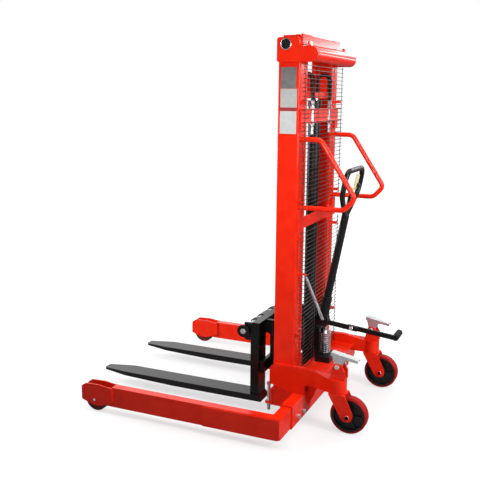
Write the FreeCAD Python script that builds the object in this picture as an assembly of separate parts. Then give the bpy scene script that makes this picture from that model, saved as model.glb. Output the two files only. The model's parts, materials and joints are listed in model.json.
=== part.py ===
import FreeCAD, Part
import math
import os

V = FreeCAD.Vector

# Overall reach; Y is measured from the mast's middle plane, and save() moves it under the origin
reach_front = 1086.0
reach_rear = 500.0
mast_y = (reach_front - reach_rear) / 2

# Mast columns
mast_depth = 108.0
mast_half = mast_depth / 2
outer_x = 291.5
web_t = 8.0
flange_t = 12.0
outer_flange = 50.0
inner_flange = 52.0
stage_gap = 3.5
channel_corner = 7.0
outer_foot_z = 52.0
inner_foot_z = 176.0
inner_top_z = 1858.0
stage_proud = 20.0
outer_top_z = inner_top_z - stage_proud
outer_tip_x = outer_x - outer_flange
inner_x = outer_tip_x - stage_gap
inner_tip_x = inner_x - inner_flange
slide_gap = 0.5
lip_round = 2.0
web_round = 3.0
sliver = 0.1

# Rollers that carry the inner mast and the carriage
roller_clear = 0.3
roller_r = mast_half - flange_t - roller_clear
stub_r = 12.0
stub_fit = 0.06
roller_edge = 3.0
mast_roller_z = 240.0
roller_in = 5.0
roller_w = 35.0
mast_roller_x = (inner_x + roller_in, inner_x + roller_in + roller_w)

# Head of the mast
cheek_t = 27.5
cheek_wall = 8.0
cheek_x = outer_x + cheek_t
cheek_setback = 2.0
cheek_front = cheek_setback - mast_half
cheek_rise = 5.0
cheek_h = 111.0
cheek_top_z = outer_top_z + cheek_rise
cheek_low_z = cheek_top_z - cheek_h
beam_r = 35.0
beam_wall = 5.0
beam_out = 56.0
beam_y = mast_half + beam_out
beam_z = cheek_low_z + beam_r
head_room = 11.0
head_step = 4.0
head_roller_r = mast_half - flange_t - head_room
head_journal_r = head_roller_r - head_step
head_fit = 0.08
head_play = 0.5
head_roller_y = head_play - head_room
head_roller_drop = 31.0
head_roller_z = cheek_top_z - head_roller_drop
rail_y = head_roller_y + head_roller_r + roller_clear
rail_back = 7.2
rail_depth = mast_half - flange_t - rail_back - rail_y
rail_width = 30.0
rail_foot_z = 460.0
tab_side = 1.5
tab_w = 28.0
tab_x = (outer_x - tab_side - tab_w, outer_x - tab_side)
tab_in = 24.0
tab_y = beam_y - tab_in
tab_t = 8.0
tab_drop = 19.0
tab_top_z = cheek_top_z - tab_drop
cheek_step = 2.0
cheek_foot_round = 10.0
cheek_step_round = 16.0
cheek_head_round = 12.0
tread_clear = 2.5
journal_room = 1.0
journal_recess = 3.0
head_bolt_r = 5.0
head_bolt_nose = 22.0
top_bar_drop = 3.0
top_bar_h = 40.0
top_bar_z = (inner_top_z - top_bar_drop - top_bar_h, inner_top_z - top_bar_drop)
top_tab_in = 20.0
top_tab_h = 70.0
foot_bar_lift = 2.0
foot_bar_clear = 3.0

# Lift cylinder, ram and chains
cylinder_y = 29.0
cylinder_r = 30.0
cylinder_bore_r = 24.0
gland_r = 34.0
gland_h = 18.0
ram_r = 20.0
ram_fit = 0.05
ram_foot_z = 200.0
crosshead_drop = 288.0
crosshead_z = inner_top_z - crosshead_drop
ram_room = 12.0
cylinder_top_z = crosshead_z - ram_room - gland_h
crosshead_t = 30.0
crosshead_y = 16.0
pulley_in = 51.0
pulley_x = inner_tip_x - pulley_in
pulley_half = 14.0
pulley_y = 32.0
pulley_rise = 86.0
pulley_z = crosshead_z + pulley_rise
pulley_pitch_r = 33.0
pulley_root_r = 25.5
pulley_rim_r = 36.0
pulley_axle_r = 10.0
fork_plate_t = 6.0
fork_plate_gap = 3.0
chain_half = 10.0
chain_thick = 14.0
chain_waist = 9.0
chain_pitch = 50.0
chain_front_z = 360.0
chain_rear_drop = 10.0
chain_rear_z = crosshead_z - chain_rear_drop
piston_clear = 0.5
pulley_ear_rise = 20.0
pulley_ear_round = 15.0
rim_clear = 1.0

# Crossbars behind the mast, with the chain anchors
bar_gap = 1.0
bar_y = mast_half + bar_gap
bar_depth = 23.0
upper_bar_h = 68.0
upper_bar_drop = 85.0
upper_bar_low_z = cylinder_top_z - upper_bar_drop
upper_bar_z = (upper_bar_low_z, upper_bar_low_z + upper_bar_h)
middle_bar_z = (955.0, 1010.0)
bar_flange = 8.0
bracket_drop = 38.0
cylinder_notch = 0.3
anchor_r = 6.0
anchor_drop = 55.0
anchor_foot_z = upper_bar_low_z - anchor_drop
nut_af = 19.0
nut_h = 10.0
head_h = 8.0
bolt_af = 22.0
clevis_side = 3.0
anchor_tail = 20.0

# Side handles
handle_in = 17.5
handle_x = outer_x - handle_in
handle_r = 12.0
handle_gap = 2.0
handle_span = 321.0
handle_low_z = middle_bar_z[1] + bracket_drop + handle_gap + handle_r
handle_top_z = handle_low_z + handle_span
handle_shoulder_y = 153.0
handle_tip_y = 328.0
handle_tip_rise = 56.0
handle_tip_z = handle_low_z + handle_tip_rise
handle_bend = 45.0
handle_shoulder_bend = 40.0
handle_tip_bend = 30.0
handle_return = 52.0

# Guard mesh, its clips and the tension spring's post
mesh_stand = 2.5
mesh_y = bar_y + bar_depth + mesh_stand
mesh_t = 3.0
mesh_in = 5.5
mesh_half = outer_x - mesh_in
mesh_foot_z = 240.0
mesh_gap = 4.0
mesh_z = (mesh_foot_z, cheek_low_z - mesh_gap)
mesh_columns = 8
mesh_rows = 22
mesh_wire = 5.0
mesh_notch_half = 88.0
mesh_notch_z = 470.0
clip_w = 24.0
clip_x = (mesh_half - clip_w, mesh_half)
clip_h = 14.0
clip_foot_z = 430.0
clip_rise = 30.0
clip_drop = 46.0
clip_heights = (upper_bar_z[1] + clip_rise, handle_low_z + clip_rise)
clip_heights += (middle_bar_z[0] - clip_drop, clip_foot_z)
post_x = clip_x[0]
post_z = 735.0
post_r = 5.0
post_len = 45.0
post_collar_r = 8.0
post_collar_h = 8.0
mesh_handle_room = 4.0
mesh_post_room = 6.0

# Straddle legs and the socket that they slide in
leg_width = 50.0
leg_height = 102.0
leg_wall = 5.0
leg_foot_z = 39.0
leg_clear = 0.5
socket_wall = 6.0
socket_gap = 3.5
socket_front = mast_half + socket_gap
socket_half = 480.0
leg_rear_in = socket_front + socket_wall + leg_clear
leg_rear_out = leg_rear_in + leg_width
socket_rear = leg_rear_out + leg_clear + socket_wall
socket_low_z = leg_foot_z - leg_clear - socket_wall
socket_top_z = leg_foot_z + leg_height + leg_clear + socket_wall
leg_x = (580.6, 628.6)
leg_inner_end = 150.0
leg_front_y = -817.0
leg_front_slope = 30.0
doubler_t = 8.0
doubler_front_y = -284.0
doubler_z = (40.0, 138.0)
cheek_plate_t = 8.0
load_wheel_r = 62.5
load_wheel_w = 42.0
load_axle_r = 10.0
load_axle_y = -888.0
wheel_fit = 0.06
clamp_x = (325.0, 395.0)
clamp_z = 66.0
clamp_r = 7.0
clamp_gap = 0.3
clamp_stub = 4.0
socket_round = 8.0
leg_elbow = 10.0
leg_elbow_in = 4.0
leg_nose_round = 3.0
doubler_round = 14.0
load_hub_wall = 14.0
load_tread_wall = 12.0
load_groove = 4.0
load_groove_edge = 0.5
load_edge = 6.0

# Cheek plate of a leg: (Y from the load axle, Z) round its outline
leg_cheek_top = ((-75.5, 126), (-52, 143), (26, 146), (78, 139), (106, 138))
leg_cheek_low = ((106, 60), (30, 34), (-12, 34), (-75.5, 56))
leg_cheek_rounds = (8, 30, 60, 60, 4, 6, 60, 60, 8)

# Base of the mast
foot_t = 12.0
foot_z = socket_top_z
toe_t = 12.0
toe_z = (52.0, 140.0)
stop_in = 13.5
stop_x = outer_x - stop_in
stop_out = 14.0
stop_y = -mast_half - toe_t - stop_out
stop_r = 8.0
stop_z = (20.0, 165.0)
stop_tab_z = (56.0, 68.0)
stop_tab_half = 12.0
side_t = 27.5
side_x = outer_x + side_t
arm_low_z = 194.0
arm_top_z = 262.0
deck_z = (222.0, 232.0)
deck_rear = 198.0
gusset_x = (240.0, 252.0)
gusset_foot_z = 60.0
gusset_rear = 190.0
toe_room = 4.0
side_front_y = -mast_half - 10.0
side_front_z = (180.0, 256.0)
side_top_z = 281.0
side_knee_y = 140.0
side_heel_y = 38.0
side_corner = 8.0
side_brow = 10.0
side_shoulder = 16.0
side_sweep = 60.0
flare_y = 170.0
flare_len = 20.0
flare_in = 2.0
side_lip = 6.0
housing_neck = 3.0
housing_neck_round = 30.0
housing_roof = 8.0

# Castors and their brakes
castor_out = 28.5
castor_x = outer_x + castor_out
castor_y = 293.0
castor_trail = 58.0
castor_r = 90.0
castor_w = 50.0
castor_core_r = 80.0
housing_r = 40.0
king_r = 15.0
king_fit = 0.05
yoke_inner = 35.0
yoke_t = 6.6
yoke_plate = 9.0
castor_axle_r = 10.0
crown_front = 40.0
crown_rear = 42.0
yoke_ear = 24.0
yoke_shoulder = 20.0
yoke_round = 6.0
yoke_tip_round = 22.0
core_rim = 9.0
core_web_half = 7.0
core_hub = 15.0
core_lap = 3.0
core_inset = 2.0
core_edge = 1.0
core_ribs = 6
core_rib_t = 5.0
core_rib_in = 6.0
hub_clear = 1.0
tread_edge = 7.0
brake_y = 291.0
brake_z = 327.0
brake_pin_r = 6.0
brake_plate = 6.0
brake_inner = 22.0
brake_pin_proud = 5.0
pedal_gap = 1.0
pedal_t = 4.0
pedal_front_y = 256.0
pedal_rear_y = 388.0
pedal_front_z = 393.0
pedal_rear_z = 369.0
bracket_front_in = 2.0
bracket_rear_in = 3.0
bracket_shoulder = 22.0
bracket_bend = 10.0
brake_ear_y = 17.0
brake_ear_z = 13.0
brake_ear_round = 12.0
pedal_lap = 2.0
pedal_skirt = 14.0
pedal_skirt_round = 4.0
pedal_eye = 13.0
pedal_eye_round = 12.5
pedal_waist_rear = (36.0, 38.0)
pedal_waist_front = (-26.0, 44.0)
pedal_waist_round = 20.0

# Carriage and forks
bar_half = 270.0
bar_front = -179.0
bar_rear = -140.0
bar_z = (389.0, 461.0)
ear_r = 25.0
ear_x = (95.0, 133.0)
ear_half = 45.0
shaft_r = 19.0
shaft_y = -222.0
shaft_z = 415.0
shaft_fit = 0.07
plate_gap = 4.0
plate_t = 22.0
plate_x = (inner_tip_x - plate_gap - plate_t, inner_tip_x - plate_gap)
plate_front = -116.0
plate_rear = 14.0
plate_z = (200.0, 458.0)
lower_bar_half = 262.0
lower_bar_z = (200.0, 262.0)
carriage_roller_z = (242.0, 416.0)
roller_gap = 2.0
carriage_roller_x = (inner_tip_x + roller_gap, inner_x - web_t - roller_gap)
lug_in = 25.0
lug_x = pulley_x - lug_in
lug_y = (-12.0, 10.0)
lug_z = (318.0, 330.0)
blade_x = (174.7, 280.7)
blade_z = (49.7, 81.5)
blade_tip_t = 12.0
blade_tip_half = 26.0
blade_taper = 150.0
heel_rear = -122.0
shank_x = (176.0, 270.0)
shank_y = (-187.0, -142.0)
shank_plate = 15.0
shank_top_z = bar_z[0] - 1.0
rung_z = ((81.0, 216.0), (272.0, 336.0))
fork_ear_r = 42.0
plate_corner = 6.0
plate_inner_round = 12.0
plate_low_round = 20.0
plate_top_round = 30.0
stub_short = 2.0
shank_gap = 1.0
lower_bar_round = 4.0
shaft_proud = 4.0
shaft_chamfer = 3.0
blade_droop = 5.0
blade_round = 5.0
blade_sweep = 300.0
blade_belly = 450.0
heel_drop = 22.0
heel_round = 3.0
heel_corner = 4.0
tip_shoulder = 80.0
tip_round = 22.0
shank_foot = 16.0
shank_side = 18.0
rung_t = 10.0
fork_ear_low = 28.0
fork_ear_foot_z = 330.0
fork_ear_round = 6.0
fork_ear_sweep = 30.0

# Pump, rocker, pedal bar and tiller
pump_x = (-50.0, 70.0)
pump_y = (86.0, 168.0)
pump_h = 30.0
pump_ear_x = (26.0, 38.0)
pump_ear_half = 12.0
pivot_y = 90.0
pivot_z = 404.0
pivot_r = 7.0
pivot_fit = 0.06
plunger_y = 122.0
plunger_r = 8.0
plunger_top_z = 407.0
barrel_r = 17.0
barrel_top_z = 318.0
cap_r = 30.0
cap_z = (371.0, 378.0)
spring_r = 24.5
spring_wire_r = 3.0
spring_turns = 6
hub_r = 14.0
hub_half = 25.0
nose_r = 8.0
nose_arm = 34.0
nose_angle = math.radians(20.0)
tiller_r = 19.0
tiller_foot_y = 110.0
tiller_foot_z = 470.0
tiller_head_y = 250.0
tiller_head_z = 1228.0
tiller_foot = V(0, tiller_foot_y, tiller_foot_z)
tiller_head = V(0, tiller_head_y, tiller_head_z)
socket_r = 25.0
socket_len = 98.0
grip_half = 147.0
grip_r = 13.0
grip_len = 245.0
grip_throat = 24.0
grip_bend = 48.0
pedal_bar_start = (128.0, 430.0)
pedal_bar_end = (483.0, 390.0)
pedal_bar_h = 25.0
pedal_bar_t = 10.0
pedal_lap_y = 265.0
pedal_bolt_y = (254.0, 281.0)
pad_r = 17.0
pad_len = 100.0
pad_ribs = 7
hook_r = 6.3
hook_wire_r = 1.4
hook_turns = 26
hook_low_room = 8.5
hook_top_room = 4.5
hook_lug_y = 116.0
hook_lug_z = 447.0
lever_half = 16.0
lever_t = 6.0
lever_len = 82.0
lever_knob_r = 9.0
lever_pin_r = 5.0
lever_drop = 118.0
lever_foot = 16.0
lever_round = 8.0
lever_fork = 10.0
lever_fork_lap = 20.0
lever_hub = 4.0
lever_side = 3.0
lever_stem_r = 8.0
knob_in = 6.0
pump_round = 8.0
pivot_proud = 6.0
bore_floor = 8.0
plunger_sunk = 40.0
cap_edge = 2.0
rocker_side = 3.0
nose_side = 4.0
socket_lap = 12.0
socket_floor = 20.0
hook_lug_r = 4.0
hook_lug_len = 14.0
hook_side = 6.0
hook_stand = 10.0
tiller_wall = 4.0
grip_shoulder_bend = 70.0
throat_in = 10.0
pedal_lap_half = 30.0
pedal_overrun = 10.0
pedal_bar_corner = 4.0
pedal_bar_end_round = 11.0
pedal_bolt_r = 7.0
pedal_bolt_h = 5.0
pad_pin_r = 6.0
pad_pin_proud = 4.0
pad_groove = 3.0
pad_rib_share = 0.6
coil_samples = 40

# Rocker plate: (Y, Z) from the pivot round its outline
rocker_outline = ((-10, 4), (-4, 52), (6, 70), (42, 64), (50, 24), (36, 12), (14, 7))
rocker_rounds = (0, 14, 0, 0, 8, 4, 0)


def box(x, y, z):
    return Part.makeBox(x[1] - x[0], y[1] - y[0], z[1] - z[0], V(x[0], y[0], z[0]))


def rod(radius, start, end):
    return Part.makeCylinder(radius, (end - start).Length, start, end - start)


def pipe(outer, inner, start, end):
    return rod(outer, start, end).cut(rod(inner, start, end))


def fused(pieces):
    return pieces[0].fuse(pieces[1:]).removeSplitter()


def group(pieces):
    return Part.makeCompound(pieces)


def mirrored(shape):
    return shape.mirror(V(0, 0, 0), V(1, 0, 0))


def pair(shape):
    return group([shape, mirrored(shape)])


def corner_arc(before, corner, after, radius):
    back = (before - corner).normalize()
    ahead = (after - corner).normalize()
    half = back.getAngle(ahead) / 2
    reach = radius / math.tan(half)
    middle = corner + (back + ahead).normalize() * (radius / math.sin(half) - radius)
    return corner + back * reach, middle, corner + ahead * reach


def run_edges(points, radii, closed):
    """Straight runs joined by arcs; a radius of zero keeps the corner sharp."""
    count = len(points)
    stops = []
    for i, corner in enumerate(points):
        end_point = not closed and i in (0, count - 1)
        if end_point or radii[i] == 0:
            stops.append((corner, None, corner))
        else:
            stops.append(corner_arc(points[i - 1], corner, points[(i + 1) % count], radii[i]))
    edges = []
    for i, (start, middle, end) in enumerate(stops):
        if middle is not None:
            edges.append(Part.Arc(start, middle, end).toShape())
        if closed or i < count - 1:
            following = stops[(i + 1) % count][0]
            if (following - end).Length > 1e-6:
                edges.append(Part.makeLine(end, following))
    return edges


def outline_face(points, radii):
    return Part.Face(Part.Wire(run_edges(points, radii, True)))


def slab_x(points, radii, x):
    """A plate of the outline (Y, Z), between two places on X."""
    face = outline_face([V(x[0], p[0], p[1]) for p in points], radii)
    return face.extrude(V(x[1] - x[0], 0, 0))


def slab_z(points, radii, z):
    """A plate of the outline (X, Y), between two heights."""
    face = outline_face([V(p[0], p[1], z[0]) for p in points], radii)
    return face.extrude(V(0, 0, z[1] - z[0]))


def bent_tube(points, radii, radius):
    edges = run_edges(points, radii, False)
    ring = Part.Wire(Part.makeCircle(radius, points[0], points[1] - points[0]))
    return Part.Wire(edges).makePipeShell([ring], True)


def hexagon(across, start, end):
    """A nut or bolt head between two points on its axis."""
    along = (end - start).normalize()
    side = along.cross(V(1, 0, 0)) if abs(along.x) < 0.9 else along.cross(V(0, 1, 0))
    other = along.cross(side)
    reach = across / math.sqrt(3)
    turns = [math.radians(60 * k) for k in range(6)]
    points = [start + side * (reach * math.cos(a)) + other * (reach * math.sin(a)) for a in turns]
    return Part.Face(Part.makePolygon(points + points[:1])).extrude(end - start)


def arc_from(start, corner, end):
    middle = (start + end) / 2
    lean = (corner - start).getAngle(end - start)
    share = math.tan(lean / 2) / math.tan(lean)
    return Part.Arc(start, middle + (corner - middle) * share, end).toShape()


def biarc(start, start_way, end, end_way):
    """Two arcs that leave one point along its way and reach the other along its own."""
    span = end - start
    ways = start_way + end_way
    a = 4 - ways.dot(ways)
    b = 2 * span.dot(ways)
    reach = (math.sqrt(b * b + 4 * a * span.dot(span)) - b) / (2 * a)
    joint = (start + end + (start_way - end_way) * reach) / 2
    first = arc_from(start, start + start_way * reach, joint)
    return [first, arc_from(joint, end - end_way * reach, end)]


def coil(radius, wire_r, pitch, turns, tail):
    """An upright coil on the Z axis, with a straight tail at either end."""
    def place(turn):
        angle = 2 * math.pi * turn
        return V(radius * math.cos(angle), radius * math.sin(angle), pitch * turn)

    def way(turn):
        angle = 2 * math.pi * turn
        return V(-radius * math.sin(angle), radius * math.cos(angle), pitch / (2 * math.pi)).normalize()

    edges = [Part.makeLine(place(0) - way(0) * tail, place(0))]
    for half_turn in range(2 * turns):
        a = half_turn / 2
        b = (half_turn + 1) / 2
        edges += biarc(place(a), way(a), place(b), way(b))
    edges.append(Part.makeLine(place(turns), place(turns) + way(turns) * tail))
    ring = Part.Wire(Part.makeCircle(wire_r, place(0) - way(0) * tail, way(0)))
    later = [place(k / coil_samples) for k in range(coil_samples // 2, 3 * coil_samples // 2)]
    gap = min((point - place(0)).Length for point in later) - 2 * wire_r
    print("coil of", turns, "turns, least gap to itself", round(gap, 2), "mm")
    return Part.Wire(edges).makePipeShell([ring], True)


def save(name, shape):
    shape.translate(V(0, mast_y, 0))
    print(name, "valid" if shape.isValid() else "NOT VALID", len(shape.Solids), "solids")
    shape.exportStep("parts/" + name + ".step")


def channel(x, flange, z):
    """A mast channel whose web faces out and whose flanges reach inwards."""
    tip = x - flange
    web = x - web_t
    lip = mast_half - flange_t
    points = [(x, -mast_half), (x, mast_half), (tip, mast_half), (tip, lip)]
    points += [(web, lip), (web, -lip), (tip, -lip), (tip, -mast_half)]
    inside = [lip_round, lip_round, web_round, web_round, lip_round, lip_round]
    return slab_z(points, [channel_corner, channel_corner] + inside, z)


def outer_channel():
    journal = V(outer_x, head_roller_y, head_roller_z)
    start = journal - V(web_t + journal_room, 0, 0)
    hole = rod(head_journal_r + journal_room, start, journal + V(journal_room, 0, 0))
    return channel(outer_x, outer_flange, (outer_foot_z, outer_top_z)).cut(hole)


def inner_channel():
    rail_x = (inner_x, inner_x + rail_width)
    rail = box(rail_x, (rail_y, rail_y + rail_depth), (rail_foot_z, inner_top_z))
    stub = rod(stub_r, V(inner_x - web_t, 0, mast_roller_z), V(mast_roller_x[1], 0, mast_roller_z))
    return fused([channel(inner_x, inner_flange, (inner_foot_z, inner_top_z)), rail, stub])


def head_cheek():
    rear = beam_y + beam_r
    beam_top = beam_z + beam_r
    points = [(cheek_front, cheek_low_z), (rear, cheek_low_z), (rear, beam_top)]
    step_y = mast_half + cheek_step
    points += [(step_y, beam_top), (step_y, cheek_top_z)]
    points.append((cheek_front, cheek_top_z))
    full_round = beam_r - sliver
    radii = [cheek_foot_round, full_round, full_round, cheek_step_round, cheek_step_round, cheek_head_round]
    face = outline_face([V(outer_x, p[0], p[1]) for p in points], radii)
    pocket = face.makeOffset2D(-cheek_wall).extrude(V(cheek_t - cheek_wall, 0, 0))
    journal = V(outer_x, head_roller_y, head_roller_z)
    bore = rod(head_journal_r + head_fit, journal, journal + V(cheek_t, 0, 0))
    return face.extrude(V(cheek_t, 0, 0)).cut(pocket).cut(bore)


def head_beam():
    axis = V(outer_x, beam_y, beam_z)
    tube = pipe(beam_r, beam_r - beam_wall, V(-outer_x, beam_y, beam_z), axis)
    hollow = rod(beam_r - beam_wall, V(-outer_x, beam_y, beam_z), axis)
    tab = box(tab_x, (tab_y, tab_y + tab_t), (beam_z, tab_top_z)).cut(hollow)
    tab = tab.cut(head_bolt_shank())
    return fused([tube, tab, mirrored(tab)])


def head_roller():
    axis = V(0, head_roller_y, head_roller_z)
    start = axis + V(inner_x + roller_in, 0, 0)
    tread = rod(head_roller_r, start, axis + V(outer_x - web_t - tread_clear, 0, 0))
    end = axis + V(cheek_x - journal_recess, 0, 0)
    journal = rod(head_journal_r, start, end)
    dimple = rod(head_journal_r / 3, end - V(journal_recess, 0, 0), end)
    return fused([tread, journal]).cut(dimple)


def crossbar(z, bracket_low, bracket_top, flanged):
    """A bar behind the mast, cleared round the cylinder, with a bracket on each rear flange."""
    depth = bar_y + bar_depth if flanged else bar_y + bar_flange
    width = (-outer_x, outer_x)
    bar = box(width, (bar_y, depth), z)
    if flanged:
        bar = bar.cut(box(width, (bar_y + bar_flange, depth), (z[0] + bar_flange, z[1] - bar_flange)))
    bracket = box((outer_tip_x, outer_x), (mast_half, bar_y + bar_flange), (bracket_low, bracket_top))
    axis = V(0, cylinder_y, z[0])
    notch = rod(cylinder_r + cylinder_notch, axis, axis + V(0, 0, z[1] - z[0]))
    return fused([bar, bracket, mirrored(bracket)]).cut(notch)


def upper_crossbar():
    bar = crossbar(upper_bar_z, upper_bar_z[0] - bracket_drop, upper_bar_z[1], True)
    for x in (-pulley_x, pulley_x):
        rod_place = V(x, pulley_y + pulley_pitch_r, anchor_foot_z)
        bar = bar.cut(rod(anchor_r, rod_place, rod_place + V(0, 0, chain_rear_z - anchor_foot_z)))
    return bar


def middle_crossbar():
    return crossbar(middle_bar_z, middle_bar_z[0], middle_bar_z[1] + bracket_drop, False)


def chain_anchor():
    axis = V(pulley_x, pulley_y + pulley_pitch_r, 0)
    bolt = rod(anchor_r, axis + V(0, 0, anchor_foot_z), axis + V(0, 0, chain_rear_z - nut_h))
    half = chain_half + clevis_side
    depth = (axis.y - chain_half / 2, axis.y + chain_half / 2)
    clevis = box((pulley_x - half, pulley_x + half), depth, (chain_rear_z - 2 * nut_h, chain_rear_z))
    upper = hexagon(nut_af, axis + V(0, 0, upper_bar_z[1]), axis + V(0, 0, upper_bar_z[1] + nut_h))
    lower = hexagon(nut_af, axis + V(0, 0, upper_bar_z[0] - nut_h), axis + V(0, 0, upper_bar_z[0]))
    return fused([bolt, clevis, upper, lower])


def lift_cylinder():
    foot = V(0, cylinder_y, foot_z + foot_t)
    top = V(0, cylinder_y, cylinder_top_z)
    gland_top = top + V(0, 0, gland_h)
    barrel = pipe(cylinder_r, cylinder_bore_r, foot, top)
    floor = rod(cylinder_r, foot, foot + V(0, 0, cylinder_r))
    gland = rod(gland_r, top - V(0, 0, gland_h / 2), gland_top).cut(rod(cylinder_bore_r, foot, top))
    body = fused([barrel, floor, gland])
    return body.cut(rod(ram_r + ram_fit, foot + V(0, 0, cylinder_r), gland_top))


def lift_ram():
    foot = V(0, cylinder_y, ram_foot_z)
    piston = rod(cylinder_bore_r - piston_clear, foot, foot + V(0, 0, cylinder_bore_r))
    return fused([rod(ram_r, foot, V(0, cylinder_y, crosshead_z)), piston])


def crosshead():
    depth = (crosshead_y, mast_half)
    beam = box((-inner_tip_x, inner_tip_x), depth, (crosshead_z, crosshead_z + crosshead_t))
    pieces = [beam]
    inner_plate = pulley_x - pulley_half - fork_plate_gap - fork_plate_t
    outer_plate = pulley_x + pulley_half + fork_plate_gap
    top = pulley_z + pulley_ear_rise
    points = [(depth[0], crosshead_z), (depth[1], crosshead_z), (depth[1], top), (depth[0], top)]
    for x in (inner_plate, outer_plate):
        pieces.append(slab_x(points, [0, 0, pulley_ear_round, pulley_ear_round], (x, x + fork_plate_t)))
        pieces.append(mirrored(pieces[-1]))
    start = V(inner_plate, pulley_y, pulley_z)
    axle = rod(pulley_axle_r, start, V(outer_plate + fork_plate_t, pulley_y, pulley_z))
    return fused(pieces + [axle, mirrored(axle)])


def chain_pulley():
    bore = pulley_axle_r + wheel_fit
    track = chain_half + rim_clear
    profile = [V(-pulley_half, bore, 0), V(-pulley_half, pulley_rim_r, 0), V(-track, pulley_rim_r, 0)]
    profile += [V(-track, pulley_root_r, 0), V(track, pulley_root_r, 0), V(track, pulley_rim_r, 0)]
    profile += [V(pulley_half, pulley_rim_r, 0), V(pulley_half, bore, 0)]
    wheel = Part.Face(Part.makePolygon(profile + profile[:1])).revolve(V(0, 0, 0), V(1, 0, 0), 360)
    wheel.translate(V(pulley_x, pulley_y, pulley_z))
    return wheel


def chain_strap(y, low, high):
    """A run of leaf chain: link after link, waisted between the pins."""
    count = max(1, round((high - low) / chain_pitch))
    pitch = (high - low) / count
    reach = chain_thick / 2
    waist = chain_waist / 2
    front = []
    for k in range(count):
        foot = low + k * pitch
        front += [V(0, -waist, foot), V(0, -reach, foot + pitch / 4), V(0, -reach, foot + pitch * 3 / 4)]
    front.append(V(0, -waist, high))
    rear = [V(0, -p.y, p.z) for p in reversed(front)]
    face = Part.Face(Part.makePolygon(front + rear + front[:1]))
    face.translate(V(pulley_x - chain_half, y, 0))
    return face.extrude(V(2 * chain_half, 0, 0))


def chain_rear():
    strand = chain_strap(pulley_y + pulley_pitch_r, chain_rear_z, pulley_z)
    axis = V(pulley_x - chain_half, pulley_y, pulley_z)
    waist = chain_waist / 2
    hoop = pipe(pulley_pitch_r + waist, pulley_pitch_r - waist, axis, axis + V(2 * chain_half, 0, 0))
    reach = 2 * pulley_pitch_r
    over = box((0, 2 * pulley_x), (pulley_y - reach, pulley_y + reach), (pulley_z, pulley_z + reach))
    return fused([strand, hoop.common(over)])


def chain_front():
    return chain_strap(pulley_y - pulley_pitch_r, chain_front_z, pulley_z)


def inner_top_bar():
    rear = mast_half + slide_gap
    bar = box((-inner_tip_x, inner_tip_x), (mast_half - flange_t, rear + tab_t), top_bar_z)
    height = (inner_top_z - top_tab_h, inner_top_z)
    tab = box((inner_tip_x - top_tab_in, tab_x[1]), (rear, rear + tab_t), height)
    return fused([bar, tab, mirrored(tab)])


def inner_foot_bar():
    low = inner_foot_z + foot_bar_lift
    plate = box((-inner_tip_x, inner_tip_x), (-mast_half, mast_half), (low, low + foot_t))
    axis = V(0, cylinder_y, inner_foot_z)
    return plate.cut(rod(cylinder_r + foot_bar_clear, axis, axis + V(0, 0, 2 * foot_t)))


def spun_roller(x, z):
    """A roller with the edges of its tread cut back and a bore for its stub axle."""
    start = V(x[0], 0, z)
    end = V(x[1], 0, z)
    body = rod(roller_r, start, end)
    rims = [e for e in body.Edges if e.Length > 2 * math.pi * roller_r - 1]
    return body.makeChamfer(roller_edge, rims).cut(rod(stub_r + stub_fit, start, end))


def mesh_guard():
    column = 2 * mesh_half / mesh_columns
    row = (mesh_z[1] - mesh_z[0]) / mesh_rows
    rim = [V(-mesh_half, mesh_y, mesh_z[0]), V(mesh_half, mesh_y, mesh_z[0])]
    rim += [V(mesh_half, mesh_y, mesh_z[1]), V(-mesh_half, mesh_y, mesh_z[1])]
    windows = []
    for i in range(mesh_columns):
        for k in range(mesh_rows):
            x = -mesh_half + i * column
            z = mesh_z[0] + k * row
            low = V(x + mesh_wire, mesh_y, z + mesh_wire)
            high = V(x + column - mesh_wire, mesh_y, z + row - mesh_wire)
            corners = [low, V(high.x, mesh_y, low.z), high, V(low.x, mesh_y, high.z)]
            windows.append(Part.makePolygon(corners + corners[:1]))
    wires = [Part.makePolygon(rim + rim[:1])] + windows
    net = Part.makeFace(group(wires), "Part::FaceMakerBullseye").extrude(V(0, mesh_t, 0))
    band = (mesh_y, mesh_y + mesh_t)
    net = net.cut(box((-mesh_notch_half, mesh_notch_half), band, (mesh_z[0], mesh_notch_z)))
    for side in (-1, 1):
        for z in (handle_top_z, handle_low_z):
            place = V(side * handle_x, mesh_y, z)
            net = net.cut(rod(handle_r + mesh_handle_room, place, place + V(0, mesh_t, 0)))
        place = V(side * post_x, mesh_y, post_z)
        net = net.cut(rod(post_r + mesh_post_room, place, place + V(0, mesh_t, 0)))
    return max(net.Solids, key=lambda solid: solid.Volume)


def mesh_clips():
    clips = []
    for z in clip_heights:
        clips.append(box(clip_x, (mast_half, mesh_y), (z - clip_h / 2, z + clip_h / 2)))
        clips.append(mirrored(clips[-1]))
    place = V(post_x, mast_half, post_z)
    collar = rod(post_collar_r, place, place + V(0, post_collar_h, 0))
    clips.append(fused([rod(post_r, place, place + V(0, post_len, 0)), collar]))
    return group(clips)


def side_handle():
    points = [V(handle_x, mast_half, handle_top_z), V(handle_x, handle_shoulder_y, handle_top_z)]
    points.append(V(handle_x, handle_tip_y, handle_tip_z))
    points.append(V(handle_x, handle_tip_y - handle_return, handle_low_z))
    points.append(V(handle_x, mast_half, handle_low_z))
    return bent_tube(points, [0, handle_shoulder_bend, handle_tip_bend, handle_bend, 0], handle_r)


def leg_socket():
    width = (-socket_half, socket_half)
    shell = box(width, (socket_front, socket_rear), (socket_low_z, socket_top_z))
    long_edges = [e for e in shell.Edges if e.Length > 2 * socket_half - 1]
    shell = shell.makeFillet(socket_round, long_edges)
    inside_y = (socket_front + socket_wall, socket_rear - socket_wall)
    shell = shell.cut(box(width, inside_y, (socket_low_z + socket_wall, socket_top_z - socket_wall)))
    for x in clamp_x:
        for side in (-1, 1):
            place = V(side * x, inside_y[1], clamp_z)
            shell = shell.cut(rod(clamp_r, place, place + V(0, socket_wall, 0)))
    return shell


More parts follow.
